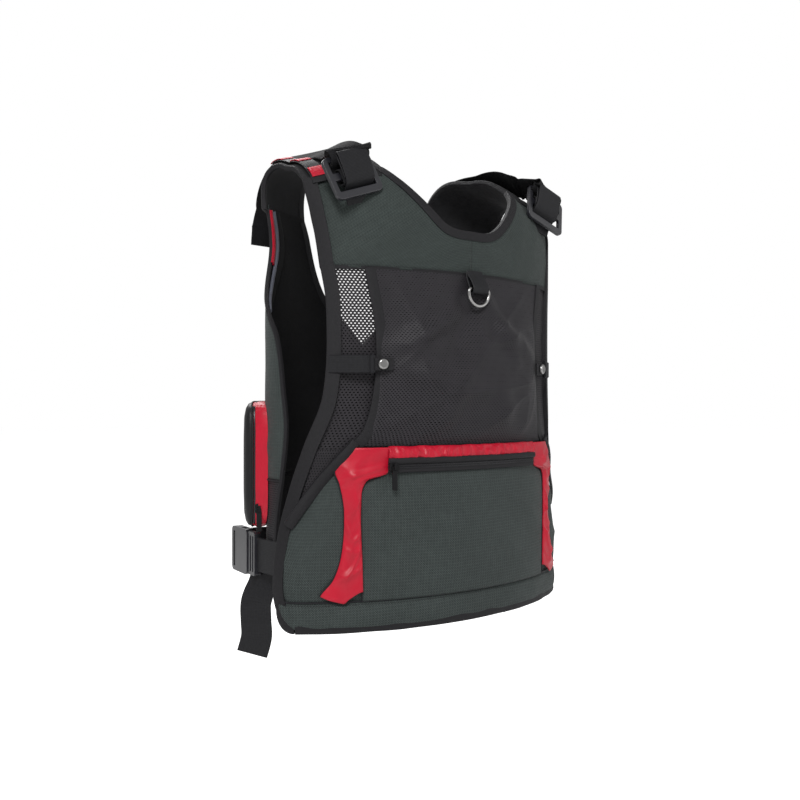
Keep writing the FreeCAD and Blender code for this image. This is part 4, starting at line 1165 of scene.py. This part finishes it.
def build_pocket(side, sign, body):
    rear, fore, top, bottom = 103.0, 150.0, -298.0, -446.0

    def gusset(u, v):
        """A band of satin round the pocket: u runs round its four sides, v from the panel out."""
        angle, height = around_pocket(u)
        folds = (wrinkle(u * 60, v * 2, seed=21 + sign) * 1.2
                 + fold_line(u * 40, v, 3, (1, 0.7), 0.3) * 1.4)
        middle = ((rear + fore) / 2, (top + bottom) / 2)
        swell = 1 + 0.03 * math.sin(math.pi * v) + folds * 0.006 * math.sin(math.pi * v)
        rearward = 1 + (0.20 * (1 - v) ** 1.5 if angle < middle[0] else 0.04 * (1 - v))
        angle = middle[0] + (angle - middle[0]) * swell * rearward
        height = middle[1] + (height - middle[1]) * (1 + (swell - 1) * 0.6)
        return at_height(sign * angle, height, mix(3.6, 19.5, v))

    def around_pocket(t, inset=0.0):
        """A rounded rectangle in angle and height."""
        turn = 2 * math.pi * t
        power = 0.36
        c, s = math.cos(turn), math.sin(turn)
        a = math.copysign(abs(c) ** power, c)
        b = math.copysign(abs(s) ** power, s)
        half_angle, half_height = (fore - rear) / 2 - inset, (top - bottom) / 2 - inset * 3
        return (rear + fore) / 2 + a * half_angle, (top + bottom) / 2 + b * half_height
    band = loop_shell(side + "_pocket_gusset_cloth", gusset, 120, 6, SATIN, body)
    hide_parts(side + "_front_pocket_gusset")

    rings = [(0.0, 19.0), (-0.15, 21.5), (0.2, 24.0), (1.6, 26.8), (4.0, 28.6), (8.0, 29.6), (14.0, 30.2)]
    vertices, faces = [], []
    count = 96
    for inset, lift in rings:
        for k in range(count):
            angle, height = around_pocket(k / count, inset)
            vertices.append(at_height(sign * angle, height, lift)[0])
    for ring in range(len(rings) - 1):
        for k in range(count):
            n = (k + 1) % count
            here, there = ring * count, (ring + 1) * count
            faces.append((here + k, here + n, there + n, there + k))
    vertices.append(at_height(sign * (rear + fore) / 2, (top + bottom) / 2, 30.4)[0])
    centre = len(vertices) - 1
    last = (len(rings) - 1) * count
    for k in range(count):
        faces.append((last + k, last + (k + 1) % count, centre))
    cover = piece(side + "_pocket_shell", vertices, faces, SHELL, body)
    fix_normals(cover)
    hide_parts(side + "_front_pocket_cover")
    for number, (inset, lift) in enumerate(((-0.3, 19.3), (-0.35, 14.0))):
        spots = [around_pocket(k / 120, inset) for k in range(121)]
        line = [at_height(sign * angle, height, lift) for angle, height in spots]
        sweep(side + "_pocket_bead_%d" % number, rail(line), oval(1.1, 1.1, 8), TAPE, body)

    zip_line = []
    for k in range(61):
        angle, height = around_pocket(0.5 + 0.14 * mix(-1, 1, k / 60), -0.5)
        zip_line.append(at_height(sign * angle, height, 16.6))
    tape = sweep(side + "_pocket_zip_tape", rail(zip_line), oval(1.2, 1.6, 8), COIL, body)
    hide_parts(side + "_front_zip_chain")


def loop_shell(name, surface, around, up, finish, body):
    vertices, faces, cloth = [], [], []
    for k in range(around):
        for j in range(up + 1):
            vertices.append(surface(k / around, j / up)[0])
            cloth.append((k * 0.0045, j * 0.003))
    rows = up + 1
    for k in range(around):
        n = (k + 1) % around
        for j in range(up):
            faces.append((k * rows + j, n * rows + j, n * rows + j + 1, k * rows + j + 1))
    made = piece(name, vertices, faces, finish, body, True, cloth)
    fix_normals(made)
    return made


def upright_strap(name, plan, level, width, body):
    """Webbing on edge: a plan path of (x, y) in mm, at a level."""
    smooth = smooth_path([Vector((x, y, level)) for x, y in plan], 60)
    spots = [(spot * MM, Vector((0, 0, 1)), Vector((run.y, -run.x, 0)))
             for spot, run in zip(smooth, runs_of(smooth))]
    return sweep(name, spots, strap_profile(width, 1.9), WEBBING, body)


def build_side_strap(side, sign, body):
    level = -477.0
    turn = math.radians(7.7)
    along = Vector((-sign * math.sin(turn), math.cos(turn), 0))
    start = Vector((sign * 214.0, 34.0, level))

    def place(x, z):
        spot = start + along * x + Vector((sign, 0, 0)) * z
        return spot.x, spot.y
    strap = [(sign * 211.5, -13.5), (sign * 212.6, -2), (sign * 213.6, 14), place(-1.0, -0.5),
             place(3.0, -3.4), place(8.0, -4.6)]
    made = upright_strap(side + "_strap_web", strap, level, 40, None)
    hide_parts(side + "_side_strap")
    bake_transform(made)
    onward = [place(58, 1.0), place(64, 5.2), place(69, 3.2), place(72, -1.0), (sign * 190, 123),
              (sign * 160, 121), (sign * 118, 106.4), (sign * 92, 114.5)]
    made = upright_strap(side + "_anchor_web", onward, level, 38, body)
    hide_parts(side + "_front_strap")

    plug = side + "_plug"
    top = place(6, -5.0)
    drops = ((0, -4, -480), (-1.5, -5, -497), (0, -4, -515), (4, 1, -535), (4, 1, -556), (1, 5, -576),
             (3, 12, -598))
    smooth = smooth_path([Vector((top[0] + sign * x, top[1] + y, z)) for x, y, z in drops], 50)
    spots = []
    for k, (spot, run) in enumerate(zip(smooth, runs_of(smooth))):
        twist = mix(0.1, 0.85, ease(k / 30))
        across = Vector((sign * math.sin(twist), math.cos(twist), -0.25 * ease((k - 30) / 20)))
        across = square_to(run, across)
        spots.append((spot * MM, across, across.cross(run).normalized()))
    tail = sweep(side + "_tail_web", spots, strap_profile(37, 1.9), WEBBING, plug)
    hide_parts(side + "_strap_tail")


# ------------------------------------------------------------ CAD hardware

def finish_hardware():
    finishes = {"shoulder_slide": PLASTIC, "side_socket": PLASTIC, "side_plug": PLASTIC, "d_ring": STEEL,
                "snap_cap": STEEL, "snap_studs": STEEL, "zip_slider": ZIP_METAL, "zip_pull": ZIP_METAL}
    for made in bpy.data.objects:
        if "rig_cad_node" not in made or made.hide_render:
            continue
        for key, finish in finishes.items():
            if made.name.endswith(key):
                for slot in made.material_slots:
                    slot.material = finish


# ------------------------------------------------------------ flat sizes of the cloth

NET_SOLID = 0.8    # share of a net that is thread
COLUMN_SHARE = 0.52    # the red column is waisted: about half of its rectangle


def length_of(points):
    return sum((b - a).length for a, b in zip(points, points[1:]))


def cut_between(left, right, low, high, share=1.0):
    """Flat width, length and area, in metres, of cloth between two edges given as angles by height."""
    rows = []
    for k in range(25):
        height = mix(low, high, k / 24)
        angles = [mix(left(height), right(height), n / 16) for n in range(17)]
        rows.append([at_height(angle, height, CLOTH)[0] for angle in angles])
    widths = [length_of(row) for row in rows]
    length = length_of([row[8] for row in rows])
    return max(widths), length, sum(widths) / len(widths) * length * share


def neck_notch():
    """Area cut out of the yoke below the wings' tops, in square metres."""
    points = [spot for spot in sampled(neck_line, 60) if spot[1] <= WING_TOP]
    return sum((a[0] + b[0]) * (b[1] - a[1]) for a, b in zip(points, points[1:])) * MM * MM


def declare_cloth():
    """Each sheet's flat cut, how it is held and the piece it hangs from."""
    def of_x(half, sign):
        return lambda height: sign * angle_of(half(height))

    def fixed(angle):
        return lambda height: angle
    back = along(BACK_EDGE, -1), along(BACK_EDGE)
    pouch = along(CARGO_EDGE, -1), along(CARGO_EDGE)
    face = of_x(face_edge, -1), of_x(face_edge, 1)
    band = fixed(-WING_INNER), fixed(WING_INNER)
    wide, long, area = cut_between(of_x(wing_outer, -1), of_x(wing_outer, 1), YOKE_SEAM, WING_TOP)
    lumbar = "lumbar_backing"
    sheets = [
        ("yoke_cloth", (wide, long, area - neck_notch()), "hung", "left_shoulder_pad_cloth"),
        ("back_net", cut_between(*back, PANEL_LOW, YOKE_SEAM, NET_SOLID), "hung", "yoke_cloth"),
        ("pouch_backing", cut_between(*pouch, PANEL_LOW, YOKE_SEAM), "hung", "yoke_cloth"),
        # the right side sheet below is painted shade, a black sheet standing in for the shaded inside of the
        # vest
        ("right_side_backing", cut_between(pouch[1], back[1], PANEL_LOW, YOKE_SEAM), "hung", "yoke_cloth"),
        (lumbar, cut_between(*back, HEM, BACKING_TOP), "hung", "back_net"),
        ("cargo_net", cut_between(*pouch, RED_TOP, YOKE_SEAM, NET_SOLID), "hung", "yoke_cloth"),
        ("lumbar_face", cut_between(*face, LUMBAR_SEAM, FACE_TOP), "stretched", lumbar),
        ("red_band", cut_between(*band, RED_BOTTOM, RED_TOP), "stretched", lumbar),
        ("hem_strip", cut_between(*back, HEM, LUMBAR_SEAM), "stretched", lumbar)]
    corner = cut_between(fixed(CORNER_INNER), back[1], CORNER_NET_LOW, CORNER_NET_TOP, NET_SOLID)
    wing = cut_between(fixed(WING_INNER), back[1], LUMBAR_SEAM, -400)
    front = along(FRONT_REAR), along(FRONT_OPEN, 1, 1.0)
    front_upper = cut_between(*front, FRONT_WAIST, FRONT_TOP)
    front_net = cut_between(*front, FRONT_LOW, FRONT_NET_TOP, NET_SOLID)
    front_low = cut_between(*front, FRONT_LINING_LOW, FRONT_NET_TOP)
    for side in SIDES:
        pad, cloth = side + "_shoulder_pad_cloth", side + "_front_cloth"
        sheets += [
            (side + "_corner_net", corner, "hung", "yoke_cloth"),
            (side + "_wing_cloth", wing, "stretched", lumbar),
            (side + "_red_column", (0.075, 0.172, 0.075 * 0.172 * COLUMN_SHARE), "stretched", lumbar),
            (cloth, front_upper, "hung", pad),
            (side + "_front_lining", front_upper, "hung", cloth),
            (side + "_front_net", front_net, "hung", cloth),
            (side + "_front_low_lining", front_low, "hung", cloth),
            (side + "_pocket_gusset_cloth", (0.50, 0.019, None), "stretched", cloth),
            (side + "_band_web", (0.055, 0.325, None), "draped", pad),
            (side + "_anchor_web", (0.038, 0.150, None), "stretched", cloth),
            (side + "_strap_web", (0.040, 0.060, None), "stretched", lumbar),
            (side + "_tail_web", (0.037, 0.126, None), "hung", side + "_strap_web")]


# ------------------------------------------------------------ stage

def by_sight(tree, socket, unseen, seen):
    """Gives a socket one value where the camera sees it and another for all other light."""
    path = tree.nodes.new("ShaderNodeLightPath")
    choice = tree.nodes.new("ShaderNodeMapRange")
    choice.inputs["To Min"].default_value = unseen
    choice.inputs["To Max"].default_value = seen
    tree.links.new(path.outputs["Is Camera Ray"], choice.inputs["Value"])
    tree.links.new(choice.outputs[0], socket)


def build_stage():
    camera = bpy.data.cameras.new("camera")
    camera.lens = 41.85
    eye = bpy.data.objects.new("camera", camera)
    azimuth, distance, aside = math.radians(-38), 1.2, -0.022
    back = Vector((math.sin(azimuth), -math.cos(azimuth), 0))
    right = Vector((math.cos(azimuth), math.sin(azimuth), 0))
    eye.location = back * distance + right * aside + Vector((0, 0, -0.299))
    eye.rotation_euler = (math.radians(90.2), 0, azimuth)
    bpy.context.scene.collection.objects.link(eye)
    bpy.context.scene.camera = eye

    white = bpy.data.materials.new("backdrop")
    white.use_nodes = True
    shader = white.node_tree.nodes["Principled BSDF"]
    shader.inputs["Base Color"].default_value = (0.9, 0.9, 0.9, 1)
    shader.inputs["Roughness"].default_value = 0.9
    shader.inputs["Emission Color"].default_value = (1, 1, 1, 1)
    by_sight(white.node_tree, shader.inputs["Emission Strength"], 0.0, 0.62)
    floor = bpy.data.meshes.new("floor")
    reach, level = 14.0, -0.72
    corners = [(-reach, -reach, level), (reach, -reach, level), (reach, reach, level), (-reach, reach, level)]
    floor.from_pydata(corners, [], [(0, 1, 2, 3)])
    floor.materials.append(white)
    ground = bpy.data.objects.new("floor", floor)
    bpy.context.scene.collection.objects.link(ground)
    world = bpy.data.worlds.new("studio")
    world.use_nodes = True
    background = world.node_tree.nodes["Background"]
    background.inputs[0].default_value = (1, 1, 1, 1)
    background.inputs[1].default_value = 0.5
    by_sight(world.node_tree, background.inputs[1], 0.42, 1.0)
    bpy.context.scene.world = world
    bpy.context.scene.view_settings.view_transform = "Standard"
    lamps = [("key", (-1.5, -1.5, 1.3), 44, 0.8), ("fill", (1.4, -1.7, 0.3), 8, 1.6),
             ("rim", (0.3, 1.6, 1.4), 30, 1.2)]
    for name, place, power, size in lamps:
        lamp = bpy.data.lights.new(name, "AREA")
        lamp.energy = power
        lamp.size = size
        made = bpy.data.objects.new(name, lamp)
        made.location = place
        made.rotation_euler = (Vector((0, 0, -0.3)) - Vector(place)).to_track_quat("-Z", "Y").to_euler()
        bpy.context.scene.collection.objects.link(made)


build_stage()
build_yoke()
build_back()
build_cargo()
build_lumbar()
build_lumbar_zip()
for side, sign in SIDES.items():
    build_shoulder(side, sign)
build_tabs()
for side, sign in SIDES.items():
    build_front(side, sign)
finish_hardware()
declare_cloth()
